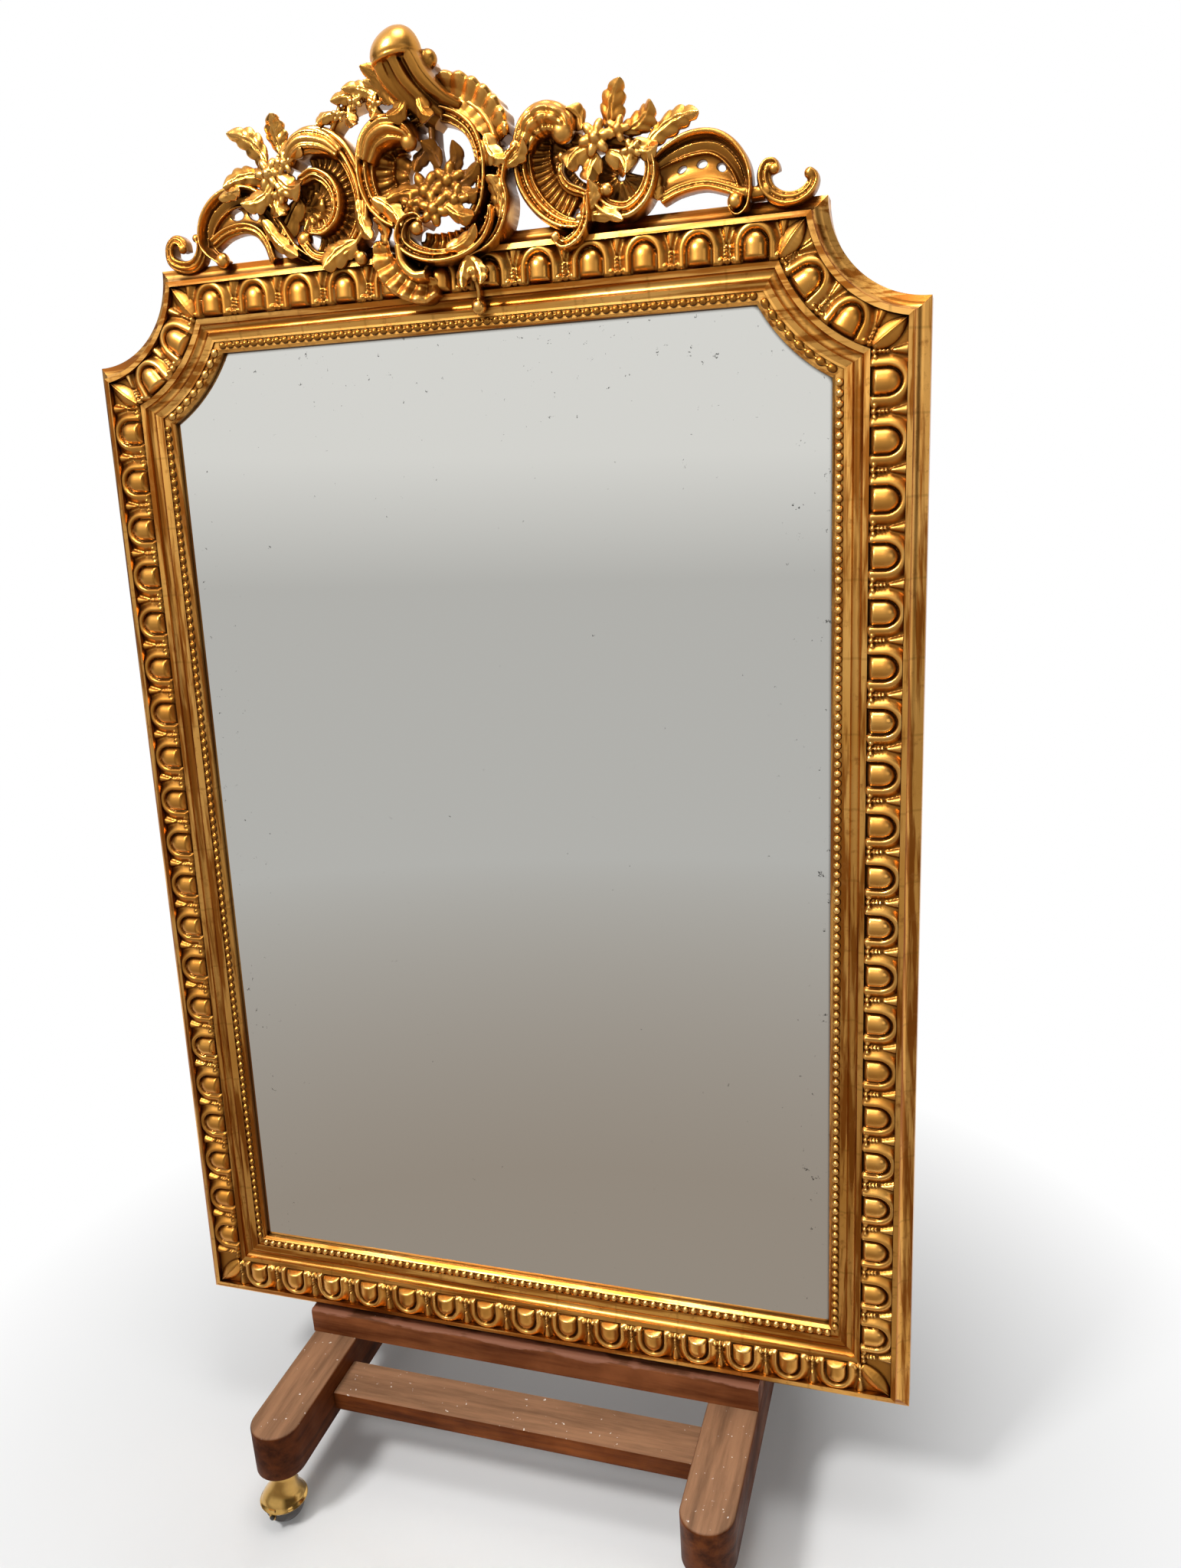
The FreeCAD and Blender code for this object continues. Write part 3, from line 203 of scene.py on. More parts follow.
def blend_colours(tree, share, first, second, way="MIX"):
    """Two colours mixed by a share."""
    mixer = tree.nodes.new("ShaderNodeMix")
    mixer.data_type = "RGBA"
    mixer.blend_type = way
    tree.links.new(share, mixer.inputs["Factor"])
    for value, socket in ((first, mixer.inputs[6]), (second, mixer.inputs[7])):
        if isinstance(value, tuple):
            socket.default_value = (*value, 1)
        else:
            tree.links.new(value, socket)
    return mixer.outputs[2]


def ray_kinds(tree):
    """Two amounts: 1 for rays from the camera, and 1 for rays that metal or glass sends on."""
    rays = tree.nodes.new("ShaderNodeLightPath").outputs
    sent_on = combine(tree, "MAXIMUM", rays["Is Glossy Ray"], rays["Is Transmission Ray"])
    return rays["Is Camera Ray"], sent_on


# Round the object the floor keeps its shadow. Further off it runs into the white backdrop. In front of the
# object, metal and glass see the room's darker floor.
floor_paint, floor_tree, floor_shader = new_material("pale_floor")
floor_shader.inputs["Base Color"].default_value = (*PALE_FLOOR, 1)
floor_shader.inputs["Roughness"].default_value = 0.8
floor_place = own_place(floor_tree)
measure = floor_tree.nodes.new("ShaderNodeVectorMath")
measure.operation = "LENGTH"
floor_tree.links.new(floor_place, measure.inputs[0])
distance = measure.outputs["Value"]
toward_camera = combine(floor_tree, "MULTIPLY", parts_of(floor_tree, floor_place)[1], -1.0)
from_camera, reflected = ray_kinds(floor_tree)
in_front = spread_between(floor_tree, toward_camera, 0.25, 0.50)
room_floor = combine(floor_tree, "MULTIPLY", reflected, in_front)
seen = combine(floor_tree, "MAXIMUM", from_camera, reflected)
away = combine(floor_tree, "MULTIPLY", seen, spread_between(floor_tree, distance, 0.35, 1.1))
faded = combine(floor_tree, "MAXIMUM", room_floor, away)
stops = [(0.0, FRONT_FLOOR), (1.0, WALL_GREY)]
front_colour = ramp(floor_tree, spread_between(floor_tree, distance, 1.0, 4.0), stops)
distant = floor_tree.nodes.new("ShaderNodeEmission")
floor_tree.links.new(blend_colours(floor_tree, room_floor, WHITE, front_colour), distant.inputs["Color"])
fade = floor_tree.nodes.new("ShaderNodeMixShader")
floor_tree.links.new(faded, fade.inputs["Fac"])
floor_tree.links.new(floor_shader.outputs["BSDF"], fade.inputs[1])
floor_tree.links.new(distant.outputs["Emission"], fade.inputs[2])
floor_tree.links.new(fade.outputs["Shader"], floor_tree.nodes["Material Output"].inputs["Surface"])
floor_mesh.materials.append(floor_paint)

world = bpy.data.worlds.new("studio")
scene.world = world
world.use_nodes = True
world_tree = world.node_tree
way_x, way_y, way_z = parts_of(world_tree, world_tree.nodes.new("ShaderNodeTexCoord").outputs["Generated"])
room = ramp(world_tree, way_z, [(0.0, WALL_GREY), (0.10, UPPER_WALL), (0.95, CEILING)])
to_left = spread_between(world_tree, combine(world_tree, "MULTIPLY", way_x, -1.0), 0.75, 0.95)
sides = combine(world_tree, "MAXIMUM", spread_between(world_tree, way_x, 0.25, 0.65), to_left)
room = blend_colours(world_tree, sides, room, DARK_SIDE)
surroundings = blend_colours(world_tree, spread_between(world_tree, way_y, 0.0, 0.3), room, WHITE)
from_camera, reflected = ray_kinds(world_tree)
world_light = blend_colours(world_tree, reflected, EVEN_LIGHT, surroundings)
world_light = blend_colours(world_tree, from_camera, world_light, WHITE)
world_tree.links.new(world_light, world_tree.nodes["Background"].inputs["Color"])
print("white backdrop behind, grey room in front")

# %% [markdown]
# ### Lamps
#
# One small lamp, high on the left, models the carving. Three weaker ones open its shadows and light the
# back.

# %% Lamps
def soft_lamp(name, place, target, size, watts, spread):
    """A square soft lamp aimed at a point, its light held within a spread in degrees."""
    data = bpy.data.lights.new(name, "AREA")
    data.size = size
    data.energy = watts
    data.spread = math.radians(spread)
    lamp = new_object(name, data)
    lamp.location = place
    lamp.rotation_euler = (Vector(target) - Vector(place)).to_track_quat("-Z", "Y").to_euler()
    lamp.visible_camera = False


soft_lamp("key", (-1.0, -2.0, 3.3), (0, 0, 1.35), 0.6, 24, 80)
soft_lamp("fill", (2.4, -2.2, 1.8), (0, 0, 0.8), 1.2, 2.5, 120)
soft_lamp("overhead", (0.3, -0.4, 3.3), (0, 0, 1.2), 0.8, 8, 100)
soft_lamp("rear", (-0.6, 2.6, 2.6), (0, 0, 1.0), 1.2, 6, 120)
print("four soft lamps")

# %% [markdown]
# ## Gold leaf
#
# Water gilding is leaf over red clay over white gesso. It is brightest on the crests, where it was burnished
# and a highlight is painted, dark in the recesses, where dust lies and shade is painted, and reddish where the
# leaf has worn through. Every gilt mesh carries a point attribute called cavity: 0 deep in a recess, 1 on a
# crest. The material reads it, and one node group gives the uneven tone and the faint wear that rails and
# carvings share. It also marks what was gilt at all: faces that look straight back were left as raw wood. A
# second group tells recesses from open places, for gold, glass and brass alike, so that each can paint shade
# into its recesses.

# %% Shared unevenness of the leaf
leaf_group = bpy.data.node_groups.new("uneven_leaf", "ShaderNodeTree")
for socket_name in ("Tone", "Wear", "Grain", "Gilt"):
    leaf_group.interface.new_socket(socket_name, in_out="OUTPUT", socket_type="NodeSocketFloat")


def noise(tree, place, scale, detail, roughness=0.55):
    """A cloud of soft noise at a scale."""
    cloud = tree.nodes.new("ShaderNodeTexNoise")
    cloud.inputs["Scale"].default_value = scale
    cloud.inputs["Detail"].default_value = detail
    cloud.inputs["Roughness"].default_value = roughness
    tree.links.new(place, cloud.inputs["Vector"])
    return cloud.outputs["Fac"]


leaf_place = own_place(leaf_group)
leaf_out = leaf_group.nodes.new("NodeGroupOutput")
tone = spread_between(leaf_group, noise(leaf_group, leaf_place, 9, 3), 0.35, 0.68)
leaf_group.links.new(tone, leaf_out.inputs["Tone"])
wear = spread_between(leaf_group, noise(leaf_group, leaf_place, 60, 5, 0.7), 0.56, 0.72)
leaf_group.links.new(wear, leaf_out.inputs["Wear"])
leaf_group.links.new(noise(leaf_group, leaf_place, 420, 3), leaf_out.inputs["Grain"])
backward = parts_of(leaf_group, leaf_group.nodes.new("ShaderNodeNewGeometry").outputs["Normal"])[1]
leaf_group.links.new(spread_between(leaf_group, backward, 0.96, 0.85), leaf_out.inputs["Gilt"])


shelter_group = bpy.data.node_groups.new("shelter", "ShaderNodeTree")
for socket_name in ("Reach", "Low", "High"):
    shelter_group.interface.new_socket(socket_name, in_out="INPUT", socket_type="NodeSocketFloat")
shelter_group.interface.new_socket("Open", in_out="OUTPUT", socket_type="NodeSocketFloat")
shelter_in = shelter_group.nodes.new("NodeGroupInput").outputs
shelter_out = shelter_group.nodes.new("NodeGroupOutput").inputs
sky = shelter_group.nodes.new("ShaderNodeAmbientOcclusion")
opening = shelter_group.nodes.new("ShaderNodeMapRange")
for given, wanted in (
    (shelter_in["Reach"], sky.inputs["Distance"]),
    (shelter_in["Low"], opening.inputs["From Min"]),
    (shelter_in["High"], opening.inputs["From Max"]),
    (sky.outputs["AO"], opening.inputs["Value"]),
    (opening.outputs["Result"], shelter_out["Open"]),
):
    shelter_group.links.new(given, wanted)


def group_node(tree, group):
    """A node that stands for a whole group."""
    node = tree.nodes.new("ShaderNodeGroup")
    node.node_tree = group
    return node


def openness(tree, reach, low, high):
    """0 in a recess about as deep as the reach, 1 in the open."""
    shelter = group_node(tree, shelter_group)
    for socket_name, value in (("Reach", reach), ("Low", low), ("High", high)):
        shelter.inputs[socket_name].default_value = value
    return shelter.outputs["Open"]


def value_between(tree, amount, low, high):
    """A value that goes from low to high as the amount goes from 0 to 1."""
    scale = tree.nodes.new("ShaderNodeMapRange")
    scale.inputs["To Min"].default_value = low
    scale.inputs["To Max"].default_value = high
    tree.links.new(amount, scale.inputs["Value"])
    return scale.outputs["Result"]


def bump(tree, height, strength, distance):
    """A slight unevenness of the surface."""
    relief = tree.nodes.new("ShaderNodeBump")
    relief.inputs["Strength"].default_value = strength
    relief.inputs["Distance"].default_value = distance
    tree.links.new(height, relief.inputs["Height"])
    return relief.outputs["Normal"]


DUST_AND_SHADE = (0.040, 0.015, 0.004)
SHADE_GOLD = (0.27, 0.105, 0.014)
MID_GOLD = (0.78, 0.37, 0.075)
BURNISHED_AND_HIGHLIGHT_GOLD = (1.0, 0.63, 0.21)
BOLE = (0.24, 0.055, 0.02)
PAINTED_RECESS_SHADE = (0.115, 0.043, 0.008)
RAW_WOOD = (0.27, 0.165, 0.075)
DULL_TONE = (0.80, 0.70, 0.55)
LEAF_SHINE = 0.12


def gilding(name, highlight_place):
    """Aged gold leaf: dust and painted shade in its recesses, burnish and a painted highlight on its crests.

    The value after the name is the cavity value that counts as a crest.
    """
    material, tree, shader = new_material(name)
    leaf = group_node(tree, leaf_group)
    cavity = tree.nodes.new("ShaderNodeAttribute")
    cavity.attribute_name = "cavity"
    depth = cavity.outputs["Fac"]
    # The cavity ramp: dust and painted shade in the recesses, a painted highlight on the crests.
    stops = [(0.0, DUST_AND_SHADE), (0.30, SHADE_GOLD), (0.52, MID_GOLD), (highlight_place, BURNISHED_AND_HIGHLIGHT_GOLD)]
    colour = ramp(tree, depth, stops)
    colour = blend_colours(tree, leaf.outputs["Tone"], colour, DULL_TONE, "MULTIPLY")
    worn = combine(tree, "MULTIPLY", leaf.outputs["Wear"], spread_between(tree, depth, 0.62, 1.0))
    colour = blend_colours(tree, worn, colour, BOLE)
    # Painted shade: the gold darkens toward a deep brown where the surface is enclosed.
    colour = blend_colours(tree, openness(tree, 0.030, 0.20, 0.85), PAINTED_RECESS_SHADE, colour)
    colour = blend_colours(tree, leaf.outputs["Gilt"], RAW_WOOD, colour)
    tree.links.new(colour, shader.inputs["Base Color"])
    metal = combine(tree, "MULTIPLY", leaf.outputs["Gilt"], spread_between(tree, depth, 0.08, 0.42))
    tree.links.new(metal, shader.inputs["Metallic"])
    shader.inputs["Specular IOR Level"].default_value = LEAF_SHINE
    tree.links.new(value_between(tree, leaf.outputs["Tone"], 0.24, 0.40), shader.inputs["Roughness"])
    tree.links.new(bump(tree, leaf.outputs["Grain"], 0.12, 0.0006), shader.inputs["Normal"])
    return material


carved_gold = gilding("carved_gold", 0.80)
print("gilding for the carvings")

# %% [markdown]
# ## Meshes from curves
#
# Three small builders are enough for all the ornament. A tube joins closed rings and caps both ends, a ball
# is a stretched sphere, and merged puts several meshes in one. A carver leaves crests and recesses, so the
# cavity attribute is measured on the finished mesh: a point that lies behind the average of the points
# around it is in a recess.

# %% Mesh builders
def merged(parts):
    """Several meshes as one list of points and one list of faces."""
    points = []
    faces = []
    count = 0
    for part_points, part_faces in parts:
        points.append(np.asarray(part_points, float).reshape(-1, 3))
        faces.extend([tuple(index + count for index in face) for face in part_faces])
        count += len(points[-1])
    return np.concatenate(points), faces


def tube(rings):
    """Closed rings joined one after another, with both ends capped."""
    rings = np.asarray(rings, float)
    count, around = rings.shape[:2]
    faces = []
    for ring in range(count - 1):
        for step in range(around):
            after = (step + 1) % around
            low = ring * around
            high = low + around
            faces.append((low + step, low + after, high + after, high + step))
    faces.append(tuple(reversed(range(around))))
    faces.append(tuple(range((count - 1) * around, count * around)))
    return rings.reshape(-1, 3), faces


def ball(centre, radii, turn=0.0):
    """A stretched ball: its radii across, forward and up, turned about the forward axis by degrees."""
    steps = int(np.clip(max(radii) * 1.8, 12, 44))
    rings = []
    for low in np.linspace(0.04, math.pi - 0.04, steps // 2 + 2):
        round_angles = np.linspace(0, 2 * math.pi, steps, endpoint=False)
        ring = np.column_stack([
            np.sin(low) * np.cos(round_angles),
            np.sin(low) * np.sin(round_angles),
            np.full(steps, np.cos(low)),
        ])
        rings.append(ring * np.asarray(radii, float))
    rings = np.array(rings)
    angle = math.radians(turn)
    turned = rings.copy()
    turned[..., 0] = rings[..., 0] * math.cos(angle) - rings[..., 2] * math.sin(angle)
    turned[..., 2] = rings[..., 0] * math.sin(angle) + rings[..., 2] * math.cos(angle)
    return tube(turned + np.asarray(centre, float))


CAVITY_REACH = 6
FLAT_PLACE = 0.54


def edge_ends(mesh):
    """The points at the two ends of each edge, as two rows."""
    edges = np.empty(len(mesh.edges) * 2, int)
    mesh.edges.foreach_get("vertices", edges)
    return edges.reshape(-1, 2).T


def mark_cavity(mesh, depth, sheltered, exposed, dust_and_shade):
    """Writes the cavity attribute: about a half where flat, less in recesses, more on crests.

    A recess as deep as depth takes half of the range. Dust and painted shade also darken what lies far back:
    all of it at the sheltered front, none at the exposed one.
    """
    count = len(mesh.vertices)
    points = np.empty(count * 3)
    mesh.vertices.foreach_get("co", points)
    points = points.reshape(-1, 3)
    first, second = edge_ends(mesh)
    neighbours = np.maximum(np.bincount(first, minlength=count) + np.bincount(second, minlength=count), 1)
    smooth = points.copy()
    for _ in range(CAVITY_REACH):
        total = np.zeros_like(smooth)
        for axis in range(3):
            total[:, axis] = np.bincount(first, smooth[second, axis], count)
            total[:, axis] += np.bincount(second, smooth[first, axis], count)
        smooth = 0.4 * smooth + 0.6 * total / neighbours[:, None]
    normals = np.empty(count * 3)
    mesh.vertices.foreach_get("normal", normals)
    outward = ((points - smooth) * normals.reshape(-1, 3)).sum(1)
    fronts = -(points - MIRROR_ORIGIN) @ MIRROR_AXES[1] / MM
    # Dust and painted shade: points that lie far back are pushed toward the dark end.
    far_back_share = 1 - np.clip((fronts - sheltered) / (exposed - sheltered), 0, 1)
    values = np.clip(FLAT_PLACE + outward / depth / 2 - dust_and_shade * far_back_share, 0, 1)
    attribute = mesh.attributes.new("cavity", "FLOAT", "POINT")
    attribute.data.foreach_set("value", values.astype(np.float32))


def gilt_piece(name, mesh, depth, sheltered, exposed, dust_and_shade=0.24):
    """Turns a mesh of the mirror into a gilt piece that replaces the CAD node of the same name."""
    mesh.shade_smooth()
    mark_cavity(mesh, depth, sheltered, exposed, dust_and_shade)
    mesh.materials.append(carved_gold)
    piece = new_object(name + "_carved", mesh)
    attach(piece, "mirror")
    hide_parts(name)


print("builders ready")

# %% [markdown]
# ## Egg and dart
#
# Each length of the ornament is one band of moulded composition pressed in a mould, so a height over a flat
# grid describes it well: how far the surface stands forward at a place along the rail and a distance in
# from the outer edge. Eggs, their broad U-shaped rims, the darts with three beads and the small trefoils
# are separate heights, and the highest one wins. Only the grid's mapping differs between a straight rail
# and a scooped corner. The end columns follow the mitres: at 45 degrees below, and on the curve where a
# scoop meets a straight rail above.

# %% Heights of the ornament
BAND_OUTER = 22.5
BAND_INNER = 62.0
BAND_BED = 9.0
EGG_PITCH = 61.2
EGG_LINE = 44.5
EGG_RADIUS = 13.8
EGG_RISE = 13.4
RIM_LINE = 17.4
RIM_HALF = 2.8
RIM_OUTER = 29.0
RIM_RISE = 8.8
TONGUE_RISE = 7.4
# A knob: its place aside from the dart and in from the edge, its radius, and its foot and rise over the bed.
# Three are the dart's beads, the others the trefoil.
KNOBS = (
    (0.0, 43.6, 1.9, 3.0, 5.6), (0.0, 47.4, 2.2, 3.0, 5.6), (0.0, 51.6, 2.5, 3.0, 5.6),
    (0.0, 57.6, 3.5, 2.0, 7.0), (6.2, 56.6, 3.6, 2.0, 7.0),
)
# The depth of a dark recess in metres, and the fronts in millimetres with all of the dust and painted
# shade and with none.
EGG_CAVITY = (0.0042, 10.0, 14.0)


def hump(distance, reach):
    """1 in the middle, 0 at the reach and beyond, round like a half circle."""
    return np.sqrt(np.clip(1 - (distance / reach) ** 2, 0, None))


def ease(amount, low, high):
    """0 below low, 1 above high, smooth between."""
    share = np.clip((amount - low) / (high - low), 0, 1)
    return share * share * (3 - 2 * share)


def egg_and_dart(along, offset, eggs):
    """How far the ornament stands forward, from the nearest egg's place along the rail."""
    nearest = eggs[np.abs(along[..., None] - eggs).argmin(-1)]
    aside = np.abs(along - nearest)
    from_dart = np.abs(EGG_PITCH / 2 - aside)
    around = np.hypot(aside, np.maximum(EGG_LINE - offset, 0) * 0.90)
    flat_end = 1 - ease(offset, 55.5, 61.0)
    height = np.full(along.shape, BAND_BED + 0.4)
    egg = BAND_BED + EGG_RISE * hump(around, EGG_RADIUS) ** 0.8 * flat_end ** 0.6
    inner_flank = hump(around - RIM_LINE, RIM_HALF) ** 0.7
    outer_flank = 1 - 0.72 * ease(around, RIM_LINE + 1.2, RIM_OUTER)
    flank = np.where(around < RIM_LINE, inner_flank, outer_flank)
    rim = BAND_BED + RIM_RISE * flank * (1 - 0.5 * ease(offset, 59.5, 62))
    tail = 1.2 + np.maximum(41 - offset, 0) * 0.30
    tongue = BAND_BED + TONGUE_RISE * hump(from_dart, tail) * (1 - ease(offset, 38, 42))
    for candidate in (egg, rim, tongue):
        height = np.maximum(height, candidate)
    for aside_place, place, radius, foot, rise in KNOBS:
        knob = BAND_BED + foot + rise * hump(np.hypot(from_dart - aside_place, offset - place), radius)
        height = np.where(knob > BAND_BED + foot, np.maximum(height, knob), height)
    return height


print("an egg every", EGG_PITCH, "mm,", EGG_LINE, "mm in from the outer edge")

# %% [markdown]
# ### One band for each rail
#
# A run of the frame is told by a few functions: where a place along and in from the edge lies, and where
# the run starts and ends at a given distance in. With these the same grid makes all six bands, and the
# pearls follow the same runs. A pointed leaf covers each mitre of the ornament.

# %% Bands laid along the six rails
COLUMN = 1.3
ROWS = 34
MITRE_REACH = 70.0
HALF_WIDTH = FRAME_WIDTH / 2


def upper_mitre(offset):
    """How far from the outer corner a straight rail ends where it meets a scoop."""
    return np.sqrt(SCOOP_RADIUS**2 + 2 * SCOOP_RADIUS * offset)


def on_left_scoop(along, offset):
    """A place on the left scoop: along is measured on the eggs' arc from its middle."""
    angle = math.pi / 4 + along / (SCOOP_RADIUS + EGG_LINE)
    reach = SCOOP_RADIUS + offset
    return reach * np.cos(angle) - HALF_WIDTH, FRAME_HEIGHT - reach * np.sin(angle)


def on_right_scoop(along, offset):
    """A place on the right scoop."""
    x, z = on_left_scoop(along, offset)
    return -x, z


def stile_end(offset):
    """Where a stile ends, up from the lower edge."""
    return FRAME_HEIGHT - upper_mitre(offset)


def top_end(offset):
    """Where the top rail ends, across from the middle."""
    return HALF_WIDTH - upper_mitre(offset)


def scoop_end(offset):
    """Where a scoop ends, on the eggs' arc from its middle."""
    return (math.pi / 4 - np.arcsin(offset / (SCOOP_RADIUS + offset))) * (SCOOP_RADIUS + EGG_LINE)


def evenly(count, middle=0.0):
    """Places of a number of eggs about a middle."""
    return (np.arange(count) - (count - 1) / 2) * EGG_PITCH + middle


def warped_columns(low, high, offsets):
    """Places along a rail, one row for each offset, that run from end to end and fit both mitres."""
    low_end = low(offsets)[:, None]
    high_end = high(offsets)[:, None]
    first = low_end.max()
    last = high_end.min()
    reach = min(MITRE_REACH, (last - first) / 2.2)
    inner = np.linspace(first + reach, last - reach, max(int((last - first - 2 * reach) / COLUMN), 2))
    shares = np.linspace(0, 1, int(reach / COLUMN) + 6)
    left = low_end + (first + reach - low_end) * shares[None, :-1]
    right_part = last - reach + (high_end - last + reach) * shares[None, 1:]
    middle = np.repeat(inner[None, :], len(offsets), 0)
    return np.hstack([left, middle, right_part])


def relief_band(place, along, offset, height, base):
    """A closed band whose front is a grid of heights and whose back is flat."""
    x, z = place(along, offset)
    front = np.stack([x, -height, z], -1)
    rows, columns = along.shape
    faces = []
    for row in range(rows - 1):
        for column in range(columns - 1):
            corner = row * columns + column
            faces.append((corner, corner + 1, corner + columns + 1, corner + columns))
    edges = front[[0, -1]].copy()
    edges[..., 1] = -base
    outer = rows * columns
    inner = outer + columns
    last_row = (rows - 1) * columns
    for column in range(columns - 1):
        faces.append((outer + column, outer + column + 1, column + 1, column))
        faces.append((last_row + column, last_row + column + 1, inner + column + 1, inner + column))
        faces.append((inner + column, inner + column + 1, outer + column + 1, outer + column))
    faces.append((outer, *range(0, outer, columns), inner))
    faces.append((inner + columns - 1, *range(outer - 1, 0, -columns), outer + columns - 1))
    return np.vstack([front.reshape(-1, 3), edges.reshape(-1, 3)]), faces


FIRST_STILE_EGG = 105.0
STILE_EGGS = evenly(20, FIRST_STILE_EGG + 9.5 * EGG_PITCH)
# A run: where a place (along, offset) lies, where the run starts and ends at an offset, and its eggs.
RUNS = {
    "left": (lambda a, o: (o - HALF_WIDTH, a), lambda o: o, stile_end, STILE_EGGS),
    "right": (lambda a, o: (HALF_WIDTH - o, a), lambda o: o, stile_end, STILE_EGGS),
    "bottom": (lambda a, o: (a, o), lambda o: o - HALF_WIDTH, lambda o: HALF_WIDTH - o, evenly(15)),
    "top": (lambda a, o: (a, FRAME_HEIGHT - o), lambda o: -top_end(o), top_end, evenly(12)),
    "left_scoop": (on_left_scoop, lambda o: -scoop_end(o), scoop_end, evenly(2)),
    "right_scoop": (on_right_scoop, lambda o: -scoop_end(o), scoop_end, evenly(2)),
}


CORNER_STEPS = 30
CORNER_ACROSS = 17


def backed(face, rear):
    """A closed skin: a grid of front points, and the same grid behind it at the given depths."""
    behind = face[:, ::-1].copy()
    behind[..., 1] = rear
    return tube(np.concatenate([face, behind], 1))


def corner_leaf(place, end):
    """The pointed leaf that covers a mitre of the ornament, its tip at the outer edge."""
    share = np.linspace(0, 1, CORNER_STEPS)[:, None]
    across = np.linspace(-1, 1, CORNER_ACROSS)[None, :]
    offset = BAND_INNER - 2.5 - (BAND_INNER - BAND_OUTER - 3.5) * share
    half = 11.0 * np.sin(math.pi * (0.10 + 0.88 * share)) ** 0.8 + 0.4
    middle_x, middle_z = place(end(offset), offset)
    run_x = np.gradient(middle_x[:, 0])[:, None]
    run_z = np.gradient(middle_z[:, 0])[:, None]
    length = np.hypot(run_x, run_z)
    x = middle_x - run_z / length * half * across
    z = middle_z + run_x / length * half * across
    rib = 1.8 * np.exp(-(across / 0.12) ** 2)
    crown = np.sin(math.pi * (0.12 + 0.82 * share)) ** 0.5
    height = BAND_BED + 3.0 + 7.5 * (1 - 0.75 * np.abs(across) ** 1.7) * crown
    notches = np.abs(np.sin(9 * math.pi * share)) * np.abs(across) * (1 - np.abs(across))
    height = height + rib - notches
    return backed(np.stack([x, -height, z], -1), -BAND_BED)


def mesh_of(name, parts):
    """A Blender mesh from parts drawn in the mirror's frame."""
    points, faces = merged(parts)
    mesh = bpy.data.meshes.new(name)
    mesh.from_pydata(from_mirror(points), [], faces)
    mesh.validate()
    return mesh


for side, (place, low, high, eggs) in RUNS.items():
    offsets = np.linspace(BAND_OUTER, BAND_INNER, ROWS)
    along = warped_columns(low, high, offsets)
    offset = np.repeat(offsets[:, None], along.shape[1], 1)
    parts = [relief_band(place, along, offset, egg_and_dart(along, offset, eggs), BAND_BED)]
    if side in ("left_scoop", "right_scoop", "bottom"):
        for end in (low, high):
            parts.append(corner_leaf(place, end))
    name = "egg_and_dart_" + side
    gilt_piece(name, mesh_of(name, parts), *EGG_CAVITY)
    print(name, sum(len(part[1]) for part in parts), "faces")

# %% [markdown]
# ## Pearls
#
# A string of half-round pearls runs beside the glass. Each is turned as a half ball on a thin thread, and
# one profile turned half round along the rail makes a whole length at once.

# %% Pearl strings
PEARL_LINE = 94.25
PEARL_BED = 5.0
PEARL_PITCH = 11.1
PEARL_RADIUS = 4.6
THREAD = 1.6
PEARL_STEPS = 9
HALF_TURN = 9
PEARL_CAVITY = (0.0024, 6.0, 8.0)


def pearl_string(place, low, high):
    """A string of half pearls between two ends of a rail."""
    start = float(low(np.array([PEARL_LINE]))[0])
    finish = float(high(np.array([PEARL_LINE]))[0])
    count = int((finish - start) / PEARL_PITCH)
    middle = (start + finish) / 2
    profile = []
    for pearl in range(count):
        centre = middle + (pearl - (count - 1) / 2) * PEARL_PITCH
        for angle in np.linspace(math.pi - 0.35, 0.35, PEARL_STEPS):
            profile.append((centre + PEARL_RADIUS * math.cos(angle), PEARL_RADIUS * math.sin(angle)))
    profile = np.array(profile)
    turn = np.linspace(0, math.pi, HALF_TURN)
    radius = np.maximum(profile[:, 1], THREAD)[:, None]
    x, z = place(np.repeat(profile[:, :1], HALF_TURN, 1), PEARL_LINE + radius * np.cos(turn)[None, :])
    y = -PEARL_BED - radius * np.sin(turn)[None, :]
    return tube(np.stack([x, y, z], -1))


for side, (place, low, high, _) in RUNS.items():
    name = "pearl_string_" + side
    string = pearl_string(place, low, high)
    gilt_piece(name, mesh_of(name, [string]), *PEARL_CAVITY)
print("six pearl strings")

# %% [markdown]
# ## Carving the crest
#
# The crest is one carver's drawing in scrolls and leaves. Its main lines are curves through a few points,
# read off the photograph on a grid laid over the frame's top: across from the middle and up from the top
# edge. A band of carving follows a curve with a moulded section; ribs may cross it, as on a shell. Leaves
# are lobed and cupped. The pieces of a block are then joined in one skin, softened as gesso softens a cut,
# and thinned to a fair number of faces.

# %% Curves, bands and leaves
CREST_BACK = -4.0


def smooth_rows(rows, per_span):
    """Rows of numbers interpolated by a smooth curve through all of them."""
    rows = np.asarray(rows, float)
    padded = np.vstack([2 * rows[0] - rows[1], rows, 2 * rows[-1] - rows[-2]])
    share = np.linspace(0, 1, per_span, endpoint=False)[:, None]
    spans = []
    for index in range(1, len(padded) - 2):
        before, start, finish, after = padded[index - 1:index + 3]
        bend = 2 * before - 5 * start + 4 * finish - after
        twist = 3 * start - before - 3 * finish + after
        spans.append(0.5 * (2 * start + (finish - before) * share + bend * share**2 + twist * share**3))
    spans.append(rows[-1:])
    return np.vstack(spans)


def even_rows(rows, spacing):
    """Rows of a smooth curve taken at even distances along it."""
    dense = smooth_rows(rows, 16)
    steps = np.hypot(*np.diff(dense[:, :2], axis=0).T)
    travelled = np.concatenate([[0], np.cumsum(steps)])
    count = max(int(travelled[-1] / spacing), 6)
    wanted = np.linspace(0, travelled[-1], count)
    return np.column_stack([np.interp(wanted, travelled, column) for column in dense.T])


